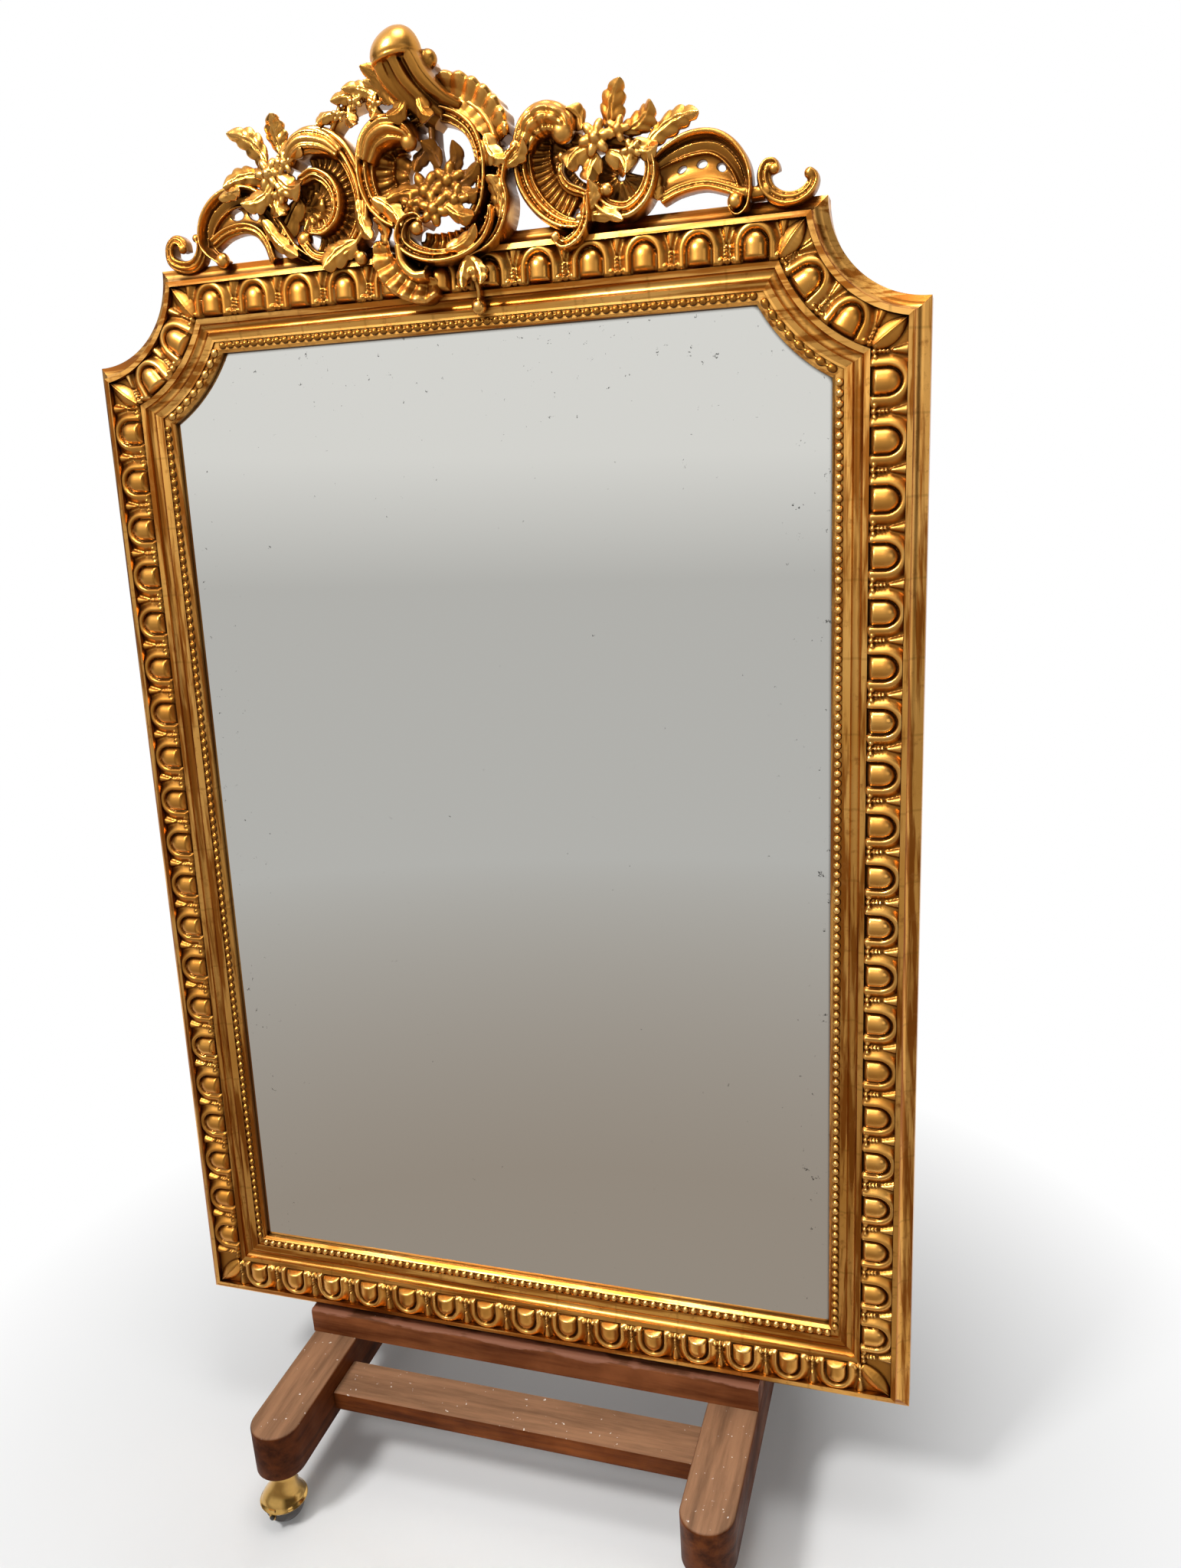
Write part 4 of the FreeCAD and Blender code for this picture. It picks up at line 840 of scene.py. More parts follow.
# Sections run from the outer edge (-1) to the inner edge (1); the second number is the height, 0 to 1.
ROUND = [
    (-1, 0), (-1, 0.45), (-0.93, 0.68), (-0.75, 0.87), (-0.45, 0.97), (0, 1),
    (0.45, 0.97), (0.75, 0.87), (0.93, 0.68), (1, 0.45), (1, 0),
]
MOULDED = [
    (-1, 0), (-1, 0.60), (-0.95, 0.80), (-0.82, 0.94), (-0.62, 1.0), (-0.42, 0.97),
    (-0.27, 0.86), (-0.20, 0.70), (-0.12, 0.70), (0.0, 0.84), (0.2, 0.90), (0.4, 0.84),
    (0.52, 0.66), (0.62, 0.62), (0.78, 0.72), (0.92, 0.68), (1, 0.55), (1, 0),
]
HOLLOW = [
    (-1, 0), (-1, 0.74), (-0.93, 0.90), (-0.78, 1.0), (-0.60, 0.98), (-0.48, 0.86), (-0.42, 0.72),
    (-0.2, 0.52), (0.1, 0.40), (0.4, 0.38), (0.65, 0.46), (0.80, 0.62), (0.92, 0.66), (1, 0.56), (1, 0),
]
RIBBED = [
    (-1, 0), (-1, 0.50), (-0.94, 0.68), (-0.80, 0.82), (-0.62, 0.86), (-0.50, 0.80),
    (-0.40, 0.88), (-0.22, 0.99), (-0.02, 1.0), (0.12, 0.92), (0.22, 0.92), (0.40, 0.97),
    (0.56, 0.90), (0.66, 0.78), (0.76, 0.78), (0.90, 0.70), (1, 0.50), (1, 0),
]
FLUTED = [
    (-1, 0), (-1, 0.85), (-0.8, 0.95), (-0.5, 0.90), (-0.1, 0.78),
    (0.3, 0.72), (0.7, 0.78), (0.95, 0.9), (1, 0.7), (1, 0),
]


BAND_SPACING = 1.6


def carved_band(path, widths, fronts, section, ribs=0, rib_depth=0.3, edge=0.0, rib_ends=(1.0, 1.0)):
    """A band of carving along a curve. Ribs cross it, as deep at its two edges as rib_ends says.

    The outer edge may be scalloped between the ribs.
    """
    count = len(path)
    widths = np.broadcast_to(np.asarray(widths, float), count)
    fronts = np.broadcast_to(np.asarray(fronts, float), count)
    rows = even_rows(np.column_stack([path, widths, fronts]), BAND_SPACING)
    along = np.gradient(rows[:, :2], axis=0)
    along /= np.maximum(np.hypot(along[:, 0], along[:, 1]), 1e-6)[:, None]
    share = np.linspace(0, 1, len(rows))
    wave = np.abs(np.sin(math.pi * ribs * share)) if ribs else np.ones(len(rows))
    rings = np.empty((len(rows), len(section), 3))
    for index, (place, height) in enumerate(section):
        reach = rows[:, 2] / 2 * place
        if place < 0:
            reach = reach * (1 + edge * (wave - 0.5))
        depth = rib_depth * np.interp(place, (-1, 1), rib_ends)
        forward_to = CREST_BACK + (rows[:, 3] - CREST_BACK) * height * (1 - depth * (1 - wave))
        rings[:, index, 0] = rows[:, 0] + along[:, 1] * reach
        rings[:, index, 1] = -forward_to
        rings[:, index, 2] = FRAME_HEIGHT + rows[:, 1] - along[:, 0] * reach
    return tube(rings)


def swell(path, least, most):
    """Widths that swell from both ends of a path to its middle."""
    last = len(path) - 1
    return [least + (most - least) * math.sin(math.pi * index / last) for index in range(len(path))]


def eye_ball(x, z, radius, front):
    """The round eye at the end of a scroll; front is how far its crown stands forward."""
    return ball((x, radius * 0.9 - front, FRAME_HEIGHT + z), (radius, radius * 0.9, radius))


LEAF_STEPS = 44
LEAF_ACROSS = 21
LEAF_CUP = 0.25


def acanthus(base, tip, width, front, bend=0.12, lobes=3, curl=6.0, thick=5.0):
    """A lobed leaf from base to tip, bowed aside, its tip curling forward."""
    share = np.linspace(0, 1, LEAF_STEPS)[:, None]
    place = np.linspace(-1, 1, LEAF_ACROSS)[None, :]
    run = np.array(tip, float) - np.array(base, float)
    length = np.hypot(*run)
    bow = bend * np.sin(math.pi * share) * length
    ahead = run / length
    aside = np.array([ahead[1], -ahead[0]])
    blade = np.sin(math.pi * (share * 0.84 + 0.16)) ** 0.7
    lobe = np.abs(np.sin(math.pi * (lobes * share + 0.12)))
    half = width / 2 * blade * (0.70 + 0.30 * lobe ** 0.6) + 0.7
    lean = np.abs(place) * half * 0.7
    x = base[0] + run[0] * share + aside[0] * (half * place + bow) + ahead[0] * lean
    z = base[1] + run[1] * share + aside[1] * (half * place + bow) + ahead[1] * lean
    rib = 2.2 * np.exp(-((np.abs(place) - 0.16) / 0.12) ** 2) - 1.4 * np.exp(-(place / 0.09) ** 2)
    swelling = 0.13 * half * lobe * np.sin(math.pi * np.abs(place)) ** 2
    rise = front + curl * (share - 0.2) ** 2 * 2 - LEAF_CUP * half * np.abs(place) ** 1.6 + swelling
    rise = rise + rib * np.sin(math.pi * (0.1 + 0.8 * share))
    thickness = thick * (0.5 + 0.5 * np.sin(math.pi * share))
    return backed(np.stack([x, -rise, FRAME_HEIGHT + z], -1), thickness - rise[:, ::-1])


def flower(x, z, radius, front, petals=6, turn=0.0):
    """A small open flower: petals about a round heart."""
    parts = [eye_ball(x, z, radius * 0.36, front + radius * 0.16)]
    for petal in range(petals):
        angle = 2 * math.pi * petal / petals + math.radians(turn)
        out_x = 0.60 * radius * math.cos(angle)
        out_z = 0.60 * radius * math.sin(angle)
        centre = (x + out_x, -front + radius * 0.30, FRAME_HEIGHT + z + out_z)
        parts.append(ball(centre, (radius * 0.46, radius * 0.26, radius * 0.30), math.degrees(angle)))
    return merged(parts)


SKIN = 1.0
KEPT_FACES = 0.30
CRUMB_POINTS = 100
GESSO = 0.5
GESSO_COATS = 2
CARVED_DEPTH = 0.0036


def remove_crumbs(mesh):
    """Removes the loose crumbs that thinning leaves: islands of fewer points than any form has."""
    first, second = edge_ends(mesh)
    island = np.arange(len(mesh.vertices))
    settled = False
    while not settled:
        lowest = np.minimum(island[first], island[second])
        joined = island.copy()
        np.minimum.at(joined, first, lowest)
        np.minimum.at(joined, second, lowest)
        joined = joined[joined]
        settled = (joined == island).all()
        island = joined
    sizes = np.bincount(island)[island]
    skin = bmesh.new()
    skin.from_mesh(mesh)
    crumbs = [point for point, size in zip(skin.verts, sizes) if size < CRUMB_POINTS]
    bmesh.ops.delete(skin, geom=crumbs, context="VERTS")
    skin.to_mesh(mesh)
    skin.free()


def carving(name, parts, sheltered=4.0, exposed=24.0, dust_and_shade=0.24):
    """Joins a block's parts in one softened skin and replaces the CAD block of that name."""
    rough = new_object(name + "_rough", mesh_of(name + "_rough", parts))
    remesh = rough.modifiers.new("skin", "REMESH")
    remesh.mode = "VOXEL"
    remesh.voxel_size = SKIN * MM
    soften = rough.modifiers.new("gesso", "SMOOTH")
    soften.factor = GESSO
    soften.iterations = GESSO_COATS
    thin = rough.modifiers.new("thin", "DECIMATE")
    thin.ratio = KEPT_FACES
    graph = bpy.context.evaluated_depsgraph_get()
    mesh = bpy.data.meshes.new_from_object(rough.evaluated_get(graph))
    mesh.name = name + "_carved"
    remove_crumbs(mesh)
    bpy.data.objects.remove(rough)
    gilt_piece(name, mesh, CARVED_DEPTH, sheltered, exposed, dust_and_shade)
    print(name, len(mesh.polygons), "faces")


print("carved bands, leaves and flowers in a skin of", SKIN, "mm")

# %% [markdown]
# ### Left wing
#
# A C-scroll with a fluted bed and an inner ring, a low pierced arch that ends in a small double volute on
# the rail, and a flower spray with three lobed leaves above the place where they meet.

# %% Left wing
LEFT_SCROLL = [
    (-203, 104), (-199, 116), (-183, 124), (-161, 120), (-140, 104), (-125, 78),
    (-118, 48), (-122, 21), (-138, 0), (-161, -10), (-184, -6), (-197, 8),
]
LEFT_SCROLL_WIDTHS = [9, 13, 18, 22, 24, 24, 24, 23, 20, 17, 12, 9]
LEFT_HEAD = [(-208, 92), (-203, 106), (-185, 116), (-160, 112), (-142, 99)]
LEFT_FLUTES = [(-188, 96), (-164, 98), (-144, 82), (-136, 52), (-144, 24), (-164, 8), (-184, 10)]
LEFT_RING = [(-196, 77), (-179, 83), (-161, 73), (-152, 54), (-156, 34), (-171, 21), (-188, 21)]
LEFT_FAN = [(-212, 62), (-198, 60), (-188, 51), (-196, 42), (-212, 40)]
LEFT_BOWL = [(-204, 66), (-188, 72), (-172, 66), (-165, 52), (-170, 37), (-186, 31), (-204, 36)]
carving("left_wing_scroll", [
    carved_band(LEFT_SCROLL, LEFT_SCROLL_WIDTHS, 28, MOULDED),
    carved_band(LEFT_FLUTES, 27, 16, FLUTED, ribs=18, rib_depth=0.34),
    carved_band(LEFT_HEAD, [11, 24, 31, 27, 16], [27, 34, 36, 33, 29], RIBBED),
    carved_band(LEFT_RING, swell(LEFT_RING, 9, 18), 26, MOULDED),
    eye_ball(-201, 14, 10, 20),
    eye_ball(-202, 103, 7, 24),
    eye_ball(-196, 78, 6, 22),
    eye_ball(-188, 22, 5, 21),
    carved_band(LEFT_BOWL, 24, 9, FLUTED, ribs=13, rib_depth=0.3),
    carved_band(LEFT_FAN, [14, 24, 30, 24, 14], [5, 8, 10, 8, 5], FLUTED, ribs=9, rib_depth=0.3),
    acanthus((-204, 62), (-230, 6), 30, 11, 0.10, thick=12),
    acanthus((-126, 4), (-168, -24), 30, 27, 0.10),
    acanthus((-122, 48), (-104, 2), 20, 26, 0.10),
    eye_ball(-124, -15, 8, 29),
])


def spaced(rows, shares):
    """Points of a row of points at shares of its length."""
    wanted = shares * (len(rows) - 1)
    return np.column_stack([np.interp(wanted, np.arange(len(rows)), part) for part in rows[:, :2].T])


def web(upper, lower, front, holes):
    """A thin dished wall between two bands, pierced by oval holes.

    Each hole is a place along the wall, half its length and its height, all as shares of the wall.
    """
    share = np.linspace(0, 1, 90)
    gap = np.zeros(len(share))
    for place, half, height in holes:
        gap = np.maximum(gap, height * hump(share - place, half))
    high = spaced(even_rows(upper, 1.5), share)
    low = spaced(even_rows(lower, 1.5), share)
    parts = []
    for start, finish in ((0 * gap, 0.52 - gap / 2), (0.48 + gap / 2, 1 + 0 * gap)):
        across = start[:, None] + (finish - start)[:, None] * np.linspace(0, 1, 9)[None, :]
        x = high[:, :1] + (low - high)[:, :1] * across
        z = high[:, 1:] + (low - high)[:, 1:] * across
        face = np.stack([x, 7 * np.sin(math.pi * across) - front, FRAME_HEIGHT + z], -1)
        parts.append(backed(face, -CREST_BACK))
    return merged(parts)


LEFT_ARCH = [
    (-314, -1), (-335, 20), (-331, 44), (-315, 62), (-292, 71),
    (-268, 68), (-249, 55), (-233, 31), (-216, 6), (-196, -8),
]
LEFT_ARCH_WIDTHS = [9, 15, 22, 25, 25, 25, 22, 18, 14, 9]
LEFT_UNDER = [(-327, 22), (-308, 32), (-284, 36), (-265, 30), (-253, 16), (-246, -4)]
LEFT_END = [
    (-371, 18), (-373, 28), (-382, 32), (-391, 24), (-390, 9),
    (-376, 1), (-359, 1), (-348, 11), (-345, 25), (-352, 33),
]
carving("left_wing_arch", [
    carved_band(LEFT_ARCH, LEFT_ARCH_WIDTHS, 21, HOLLOW),
    carved_band(LEFT_UNDER, 13, 17, MOULDED),
    web(LEFT_ARCH[1:8], LEFT_UNDER, 13, [(0.42, 0.07, 0.42), (0.60, 0.06, 0.38)]),
    carved_band(LEFT_END, swell(LEFT_END, 9, 15), 15, MOULDED),
    eye_ball(-315, 2, 9, 21),
    eye_ball(-372, 21, 6, 15),
    eye_ball(-351, 31, 5, 15),
    acanthus((-306, 68), (-272, 72), 14, 24, -0.05),
    acanthus((-252, 40), (-204, -6), 18, 20, 0.08),
])
LEFT_STEM = [(-236, 52), (-233, 76), (-222, 98), (-206, 108)]
carving("left_wing_spray", [
    carved_band(LEFT_STEM, 14, 15, ROUND),
    acanthus((-238, 98), (-283, 136), 28, 18, 0.14, 4, 9),
    acanthus((-217, 106), (-223, 150), 27, 18, -0.12, 4, 9),
    acanthus((-238, 86), (-298, 80), 27, 17, 0.12, 4, 6),
    acanthus((-230, 76), (-272, 58), 26, 24, -0.14),
    acanthus((-224, 82), (-190, 70), 26, 26, 0.2, 2),
    acanthus((-226, 94), (-184, 106), 28, 27, -0.2, 2),
    acanthus((-226, 72), (-222, 40), 24, 22, 0.15),
    flower(-236, 88, 18, 28),
    flower(-212, 96, 13, 30, 5, 20),
    flower(-220, 66, 13, 28, 5, 50),
])

# %% [markdown]
# ### Right wing
#
# The same forms, drawn freely the other way round: the scroll's head rolls over into a fat curl, the ring
# opens to the right, and a tendril drops over the rail.

# %% Right wing
RIGHT_SCROLL = [
    (130, 94), (126, 106), (107, 112), (90, 104), (81, 87),
    (79, 64), (84, 40), (99, 17), (120, 1), (142, -5),
]
RIGHT_SCROLL_WIDTHS = [14, 20, 22, 22, 21, 21, 21, 20, 17, 12]
RIGHT_SCROLL_FRONTS = [28, 30, 30, 28, 27, 26, 26, 26, 26, 26]
RIGHT_HEAD = [(134, 84), (131, 97), (112, 105), (93, 97), (82, 78)]
RIGHT_FLUTES = [(116, 100), (101, 92), (96, 70), (101, 46), (116, 27), (138, 15)]
RIGHT_RING = [(222, 64), (226, 40), (217, 17), (198, 4), (177, 8), (166, 20), (172, 32)]
RIGHT_DROP = [(154, 24), (151, -3), (141, -18), (126, -24), (117, -15)]
RIGHT_LINK = [(140, 2), (158, 4), (178, 9)]
INNER_CURL = [(126, 66), (122, 50), (130, 36), (146, 28), (160, 22)]
RIGHT_INNER = [(128, 90), (118, 70), (122, 50), (134, 34), (152, 22)]
RIGHT_BOWL = [(204, 52), (193, 60), (179, 55), (172, 42), (177, 29), (190, 23), (204, 30), (208, 42)]


def outward(section):
    """The same section with its outer and inner edges exchanged."""
    return [(-place, height) for place, height in reversed(section)]


carving("right_wing_scroll", [
    carved_band(RIGHT_SCROLL, RIGHT_SCROLL_WIDTHS, RIGHT_SCROLL_FRONTS, outward(MOULDED)),
    carved_band(RIGHT_FLUTES, 30, 15, outward(FLUTED), ribs=15, rib_depth=0.34),
    carved_band(RIGHT_HEAD, [18, 30, 37, 32, 20], [34, 41, 42, 37, 31], RIBBED, ribs=5, rib_depth=0.07),
    carved_band(RIGHT_RING, swell(RIGHT_RING, 12, 22), 26, MOULDED),
    carved_band(RIGHT_BOWL, 27, 9, FLUTED, ribs=11, rib_depth=0.3),
    carved_band(RIGHT_INNER, 26, 8, FLUTED, ribs=9, rib_depth=0.3),
    carved_band(RIGHT_DROP, swell(RIGHT_DROP, 10, 17), 33, MOULDED),
    carved_band(RIGHT_LINK, 12, 20, ROUND),
    carved_band(INNER_CURL, swell(INNER_CURL, 7, 12), 20, MOULDED),
    eye_ball(131, 88, 13, 38),
    eye_ball(176, 27, 8, 24),
    eye_ball(118, -17, 6, 33),
    eye_ball(126, 66, 6, 22),
    acanthus((150, 2), (160, 36), 18, 26, 0.15),
    acanthus((140, 2), (196, -8), 16, 22, -0.10),
])
RIGHT_ARCH = [
    (228, 46), (246, 56), (268, 63), (290, 63), (307, 54),
    (320, 38), (326, 19), (325, -2), (318, -9), (311, -2),
]
RIGHT_ARCH_WIDTHS = [12, 20, 25, 25, 24, 22, 18, 14, 11, 8]
RIGHT_UNDER = [(234, 12), (255, 20), (281, 23), (302, 18), (326, 8)]
RIGHT_END = [
    (359, 27), (356, 34), (349, 33), (346, 22), (351, 9), (364, 0),
    (380, -1), (393, 6), (398, 17), (392, 23),
]
RIGHT_TIE = [(318, 10), (334, 8), (352, 9)]
carving("right_wing_arch", [
    carved_band(RIGHT_ARCH, RIGHT_ARCH_WIDTHS, 21, HOLLOW),
    carved_band(RIGHT_UNDER, 13, 17, outward(MOULDED)),
    web(RIGHT_ARCH[0:7], RIGHT_UNDER, 13, [(0.26, 0.05, 0.20), (0.46, 0.055, 0.24), (0.66, 0.05, 0.26)]),
    carved_band(RIGHT_END, swell(RIGHT_END, 10, 16), 15, outward(MOULDED)),
    carved_band(RIGHT_TIE, 15, 14, ROUND),
    eye_ball(316, 1, 9, 21),
    eye_ball(357, 29, 6, 15),
    eye_ball(394, 21, 6, 15),
    acanthus((232, 10), (230, 46), 18, 16, -0.12, thick=8),
])
RIGHT_STEM = [(138, 84), (160, 76), (188, 76), (220, 64)]
carving("right_wing_spray", [
    carved_band(RIGHT_STEM, 16, 15, ROUND),
    acanthus((183, 76), (197, 132), 28, 18, -0.12, 4, 9),
    acanthus((194, 80), (230, 106), 26, 18, 0.12, 4, 9),
    acanthus((222, 68), (281, 89), 25, 18, -0.12, 4, 8),
    acanthus((160, 72), (136, 50), 26, 24, 0.2, 2),
    acanthus((178, 66), (200, 38), 28, 22, -0.2, 2),
    acanthus((168, 64), (158, 36), 24, 22, 0.1, 2),
    acanthus((152, 88), (136, 110), 20, 22, 0.2, 2),
    acanthus((206, 70), (236, 62), 22, 22, 0.2, 2),
    flower(167, 78, 19, 31, 6, 10),
    flower(192, 84, 14, 29, 5),
    flower(206, 62, 12, 27, 5, 40),
])

# %% [markdown]
# ### The cartouche
#
# The middle is a pierced cartouche: a bowl of two scrolls round an open ring, a volute and a ruffled shell
# below that lap over the rail, and above them a ruffled arm, a garland and the rolled finial, which leans
# well forward. A bouquet hangs in the opening.

# %% Cartouche: bowl, ring, volute and shell
BOWL_LEFT = [
    (-50, 107), (-62, 119), (-83, 122), (-101, 110), (-109, 90),
    (-109, 64), (-101, 41), (-87, 25), (-73, 16),
]
BOWL_LEFT_WIDTHS = [10, 17, 22, 22, 20, 19, 18, 16, 13]
BOWL_HEAD = [(-43, 96), (-53, 109), (-75, 116), (-97, 107), (-108, 86)]
BOWL_FLUTES = [(-68, 106), (-86, 97), (-93, 75), (-88, 52), (-72, 36), (-54, 26)]
BOWL_DEEP = [(-62, 88), (-72, 74), (-70, 56), (-58, 44), (-44, 36)]
carving("crest_left_scroll", [
    carved_band(BOWL_LEFT, BOWL_LEFT_WIDTHS, 34, outward(MOULDED)),
    carved_band(BOWL_FLUTES, 30, 19, outward(FLUTED), ribs=9, rib_depth=0.25),
    carved_band(BOWL_DEEP, 20, 12, outward(FLUTED), ribs=5, rib_depth=0.25),
    eye_ball(-49, 98, 10, 40),
    carved_band(BOWL_HEAD, [12, 26, 35, 31, 20], [37, 43, 44, 40, 35], RIBBED),
    acanthus((-100, 46), (-62, 10), 22, 32, -0.1, 3),
])
RING = [(-49, 121), (-26, 127), (0, 121), (21, 105), (31, 82), (32, 54), (26, 28), (12, 9)]
BOWL_RIGHT = [(76, 80), (63, 70), (56, 48), (59, 28), (54, 5), (40, -14), (16, -26)]
BOWL_RIGHT_WIDTHS = [8, 14, 16, 17, 16, 13, 6]
RING_SIDE = [(-22, 136), (6, 131), (30, 115), (43, 92), (46, 66)]
RIGHT_BED = [(46, 86), (45, 60), (44, 32), (36, 6)]
carving("crest_right_scroll", [
    carved_band(RING, 17, 32, MOULDED),
    carved_band(RING_SIDE, [18, 26, 28, 26, 16], 25, MOULDED),
    carved_band(BOWL_RIGHT, BOWL_RIGHT_WIDTHS, 36, MOULDED),
    carved_band(RIGHT_BED, 24, 22, FLUTED, ribs=12, rib_depth=0.3),
    acanthus((56, 8), (44, 52), 22, 30, 0.12, 4),
    acanthus((58, 60), (88, 84), 18, 30, 0.15),
    acanthus((40, 96), (66, 66), 22, 30, 0.18),
    eye_ball(76, 80, 6, 34),
])
LOWER = [
    (-38, 13), (-47, 19), (-61, 13), (-65, -3), (-52, -16),
    (-26, -24), (5, -22), (29, -11), (42, 7), (44, 22),
]
LOWER_WIDTHS = [8, 12, 15, 18, 19, 19, 19, 17, 14, 9]
LOWER_BED = [(-46, -2), (-24, -9), (2, -8), (20, 2), (31, 20)]
carving("crest_lower_volute", [
    carved_band(LOWER, LOWER_WIDTHS, 42, outward(MOULDED)),
    carved_band(LOWER_BED, [16, 24, 26, 24, 14], 26, outward(FLUTED), ribs=9, rib_depth=0.28),
    eye_ball(-45, 7, 8, 42),
    acanthus((-10, -20), (30, 2), 18, 38, 0.12, 3),
])
SHELL = [(-96, 2), (-93, -22), (-75, -44), (-48, -57), (-28, -55)]
SHELL_LIP = [(-68, -9), (-65, -28), (-52, -42), (-36, -43)]
carving("crest_shell", [
    carved_band(SHELL, [18, 28, 33, 31, 20], [30, 36, 39, 38, 36], outward(FLUTED), 7, 0.13, 0.22),
    carved_band(SHELL_LIP, 15, 43, ROUND),
    acanthus((-90, -4), (-100, 24), 16, 25, 0.2, thick=8),
])

# %% [markdown]
# ### Finial and flowers
#
# The finial is one great leaf that rises from the ring, swells and rolls over at its tip: three round lobes
# on a core, a dome with a lip and a small curl beside it. It stands furthest forward of all. The garland
# and the bouquet are leaves and flowers on a stem, and the pendant hangs over the rail.

# %% Cartouche: arm, finial, garland, bouquet and pendant
ARM = [(-24, 148), (4, 146), (28, 132), (46, 112), (57, 90)]
carving("crest_ruffled_arm", [
    carved_band(ARM, [26, 36, 40, 38, 24], [40, 38, 35, 32, 28], FLUTED, 8, 0.11, 0.12, (1.0, 0.1)),
])
FINIAL = [(-12, 120), (-26, 136), (-39, 154), (-47, 174)]
FINIAL_LOBES = [
    [(-30, 124), (-47, 138), (-60, 155), (-65, 172)],
    [(-8, 122), (-24, 136), (-39, 154), (-47, 174)],
    [(14, 128), (-4, 138), (-19, 154), (-28, 174)],
]
FINIAL_CURL = [(-27, 148), (-22, 162), (-18, 174)]


def dome(centre, radii, under):
    """The rolled tip of a great leaf: a round dome above, flat and slightly hollow below."""
    points, faces = ball((0, 0, 0), radii)
    below = points[:, 2] < 0
    reach = np.hypot(points[:, 0] / radii[0], points[:, 1] / radii[1])
    points[below, 2] *= under / radii[2]
    points[below, 2] += under * 0.7 * (1 - np.clip(reach[below], 0, 1)) ** 0.8
    points[:, 2] += 3.0 * np.sin(points[:, 0] / radii[0] * 2.2)
    return points + np.asarray(centre, float), faces


def lip(centre, reach_x, reach_y, radius, tilt):
    """The rolled edge below the dome: a ring of round section that tilts from side to side."""
    rings = []
    turn = np.linspace(0, 2 * math.pi, 14, endpoint=False)
    for angle in np.linspace(0, 2 * math.pi, 60):
        out = radius * np.cos(turn)
        x = centre[0] + (reach_x + out) * math.cos(angle)
        y = centre[1] + (reach_y + out) * math.sin(angle)
        z = centre[2] + radius * np.sin(turn) + tilt * math.cos(angle)
        rings.append(np.column_stack([x, y, z]))
    return tube(rings)


carving("crest_finial", [
    carved_band(FINIAL, [30, 45, 54, 54], [26, 40, 54, 66], ROUND),
    *[carved_band(lobe, [11, 17, 21, 22], [31, 46, 61, 72], ROUND) for lobe in FINIAL_LOBES],
    dome((-47, -54, FRAME_HEIGHT + 178), (29, 28, 28), 13),
    ball((-47, -25, FRAME_HEIGHT + 172), (27, 28, 17)),
    lip((-47, -54, FRAME_HEIGHT + 173), 25.5, 24.5, 2.6, 4.5),
    carved_band(FINIAL_CURL, [17, 15, 13], [42, 46, 46], ROUND),
    eye_ball(-17, 175, 11, 48),
    acanthus((-60, 136), (-94, 176), 24, 40, 0.12, 3, 8),
    acanthus((-30, 140), (-12, 114), 20, 46, 0.15, 2),
    acanthus((-44, 140), (-66, 122), 22, 43, -0.15, 2),
], 30.0, 84.0, 0.22)
GARLAND = [(-60, 140), (-80, 148), (-104, 151), (-129, 146), (-146, 131), (-160, 112)]
carving("crest_garland", [
    carved_band(GARLAND, [8, 10, 11, 11, 9, 7], [30, 30, 28, 26, 23, 20], ROUND),
    acanthus((-70, 140), (-98, 164), 16, 32, 0.15),
    acanthus((-84, 148), (-124, 160), 17, 32, 0.12),
    acanthus((-104, 150), (-140, 150), 16, 30, 0.12),
    acanthus((-120, 148), (-112, 122), 16, 30, 0.2),
    acanthus((-96, 148), (-92, 124), 16, 31, -0.2),
    acanthus((-138, 140), (-162, 128), 14, 27, 0.2),
    flower(-88, 142, 10, 35, 5),
    flower(-112, 148, 10, 34, 5, 30),
    flower(-136, 138, 9, 30, 5, 10),
])
STALK = [(-26, 126), (-27, 100), (-24, 74), (-20, 50)]
# The bouquet lies far back in the opening and takes much of the dust and painted shade.
carving("crest_bouquet", [
    carved_band(STALK, 11, 20, ROUND),
    acanthus((-6, 56), (3, 94), 18, 24, 0.1, 2),
    acanthus((-16, 70), (-36, 98), 18, 22, 0.1, 2),
    acanthus((-4, 50), (33, 68), 20, 26, 0.1, 2),
    acanthus((4, 42), (31, 36), 18, 30, 0.1, 2),
    acanthus((-10, 28), (27, 12), 20, 34, 0.1, 2),
    acanthus((-30, 44), (-80, 40), 20, 30, 0.1),
    acanthus((-24, 96), (-46, 68), 18, 22, 0.15),
    flower(-34, 46, 22, 33, 6),
    flower(-6, 54, 20, 33, 6, 20),
    flower(2, 33, 17, 35, 5),
    flower(-24, 26, 19, 37, 6, 40),
    flower(-52, 34, 13, 34, 5, 15),
], 24.0, 48.0, 0.38)
PENDANT = [(13, -22), (17, -44), (20, -62), (18, -78)]
carving("crest_pendant", [
    carved_band(PENDANT, [9, 10, 8, 7], [40, 28, 24, 20], ROUND),
    acanthus((14, -26), (8, -62), 16, 33, 0.12),
    acanthus((16, -26), (30, -60), 16, 33, -0.12),
    flower(17, -44, 11, 33, 5),
    eye_ball(18, -80, 9, 25),
])

# %% [markdown]
# ## Rails, glass and stand
#
# These keep their CAD shape and only get a finish. The rails' leaf was laid in squares, so faint lap lines
# cross them, rubbing has left streaks along them, and shade is painted into their hollows.

# %% Gilding of the plain mouldings
LAP_SCALE = 3.6
STREAK = 85
RUBBED_GOLD = (0.92, 0.49, 0.13)
STREAK_SHADE = (0.42, 0.26, 0.14)
RED_WEAR = (0.45, 0.17, 0.035)
DARK_WOOD = (0.16, 0.09, 0.04)


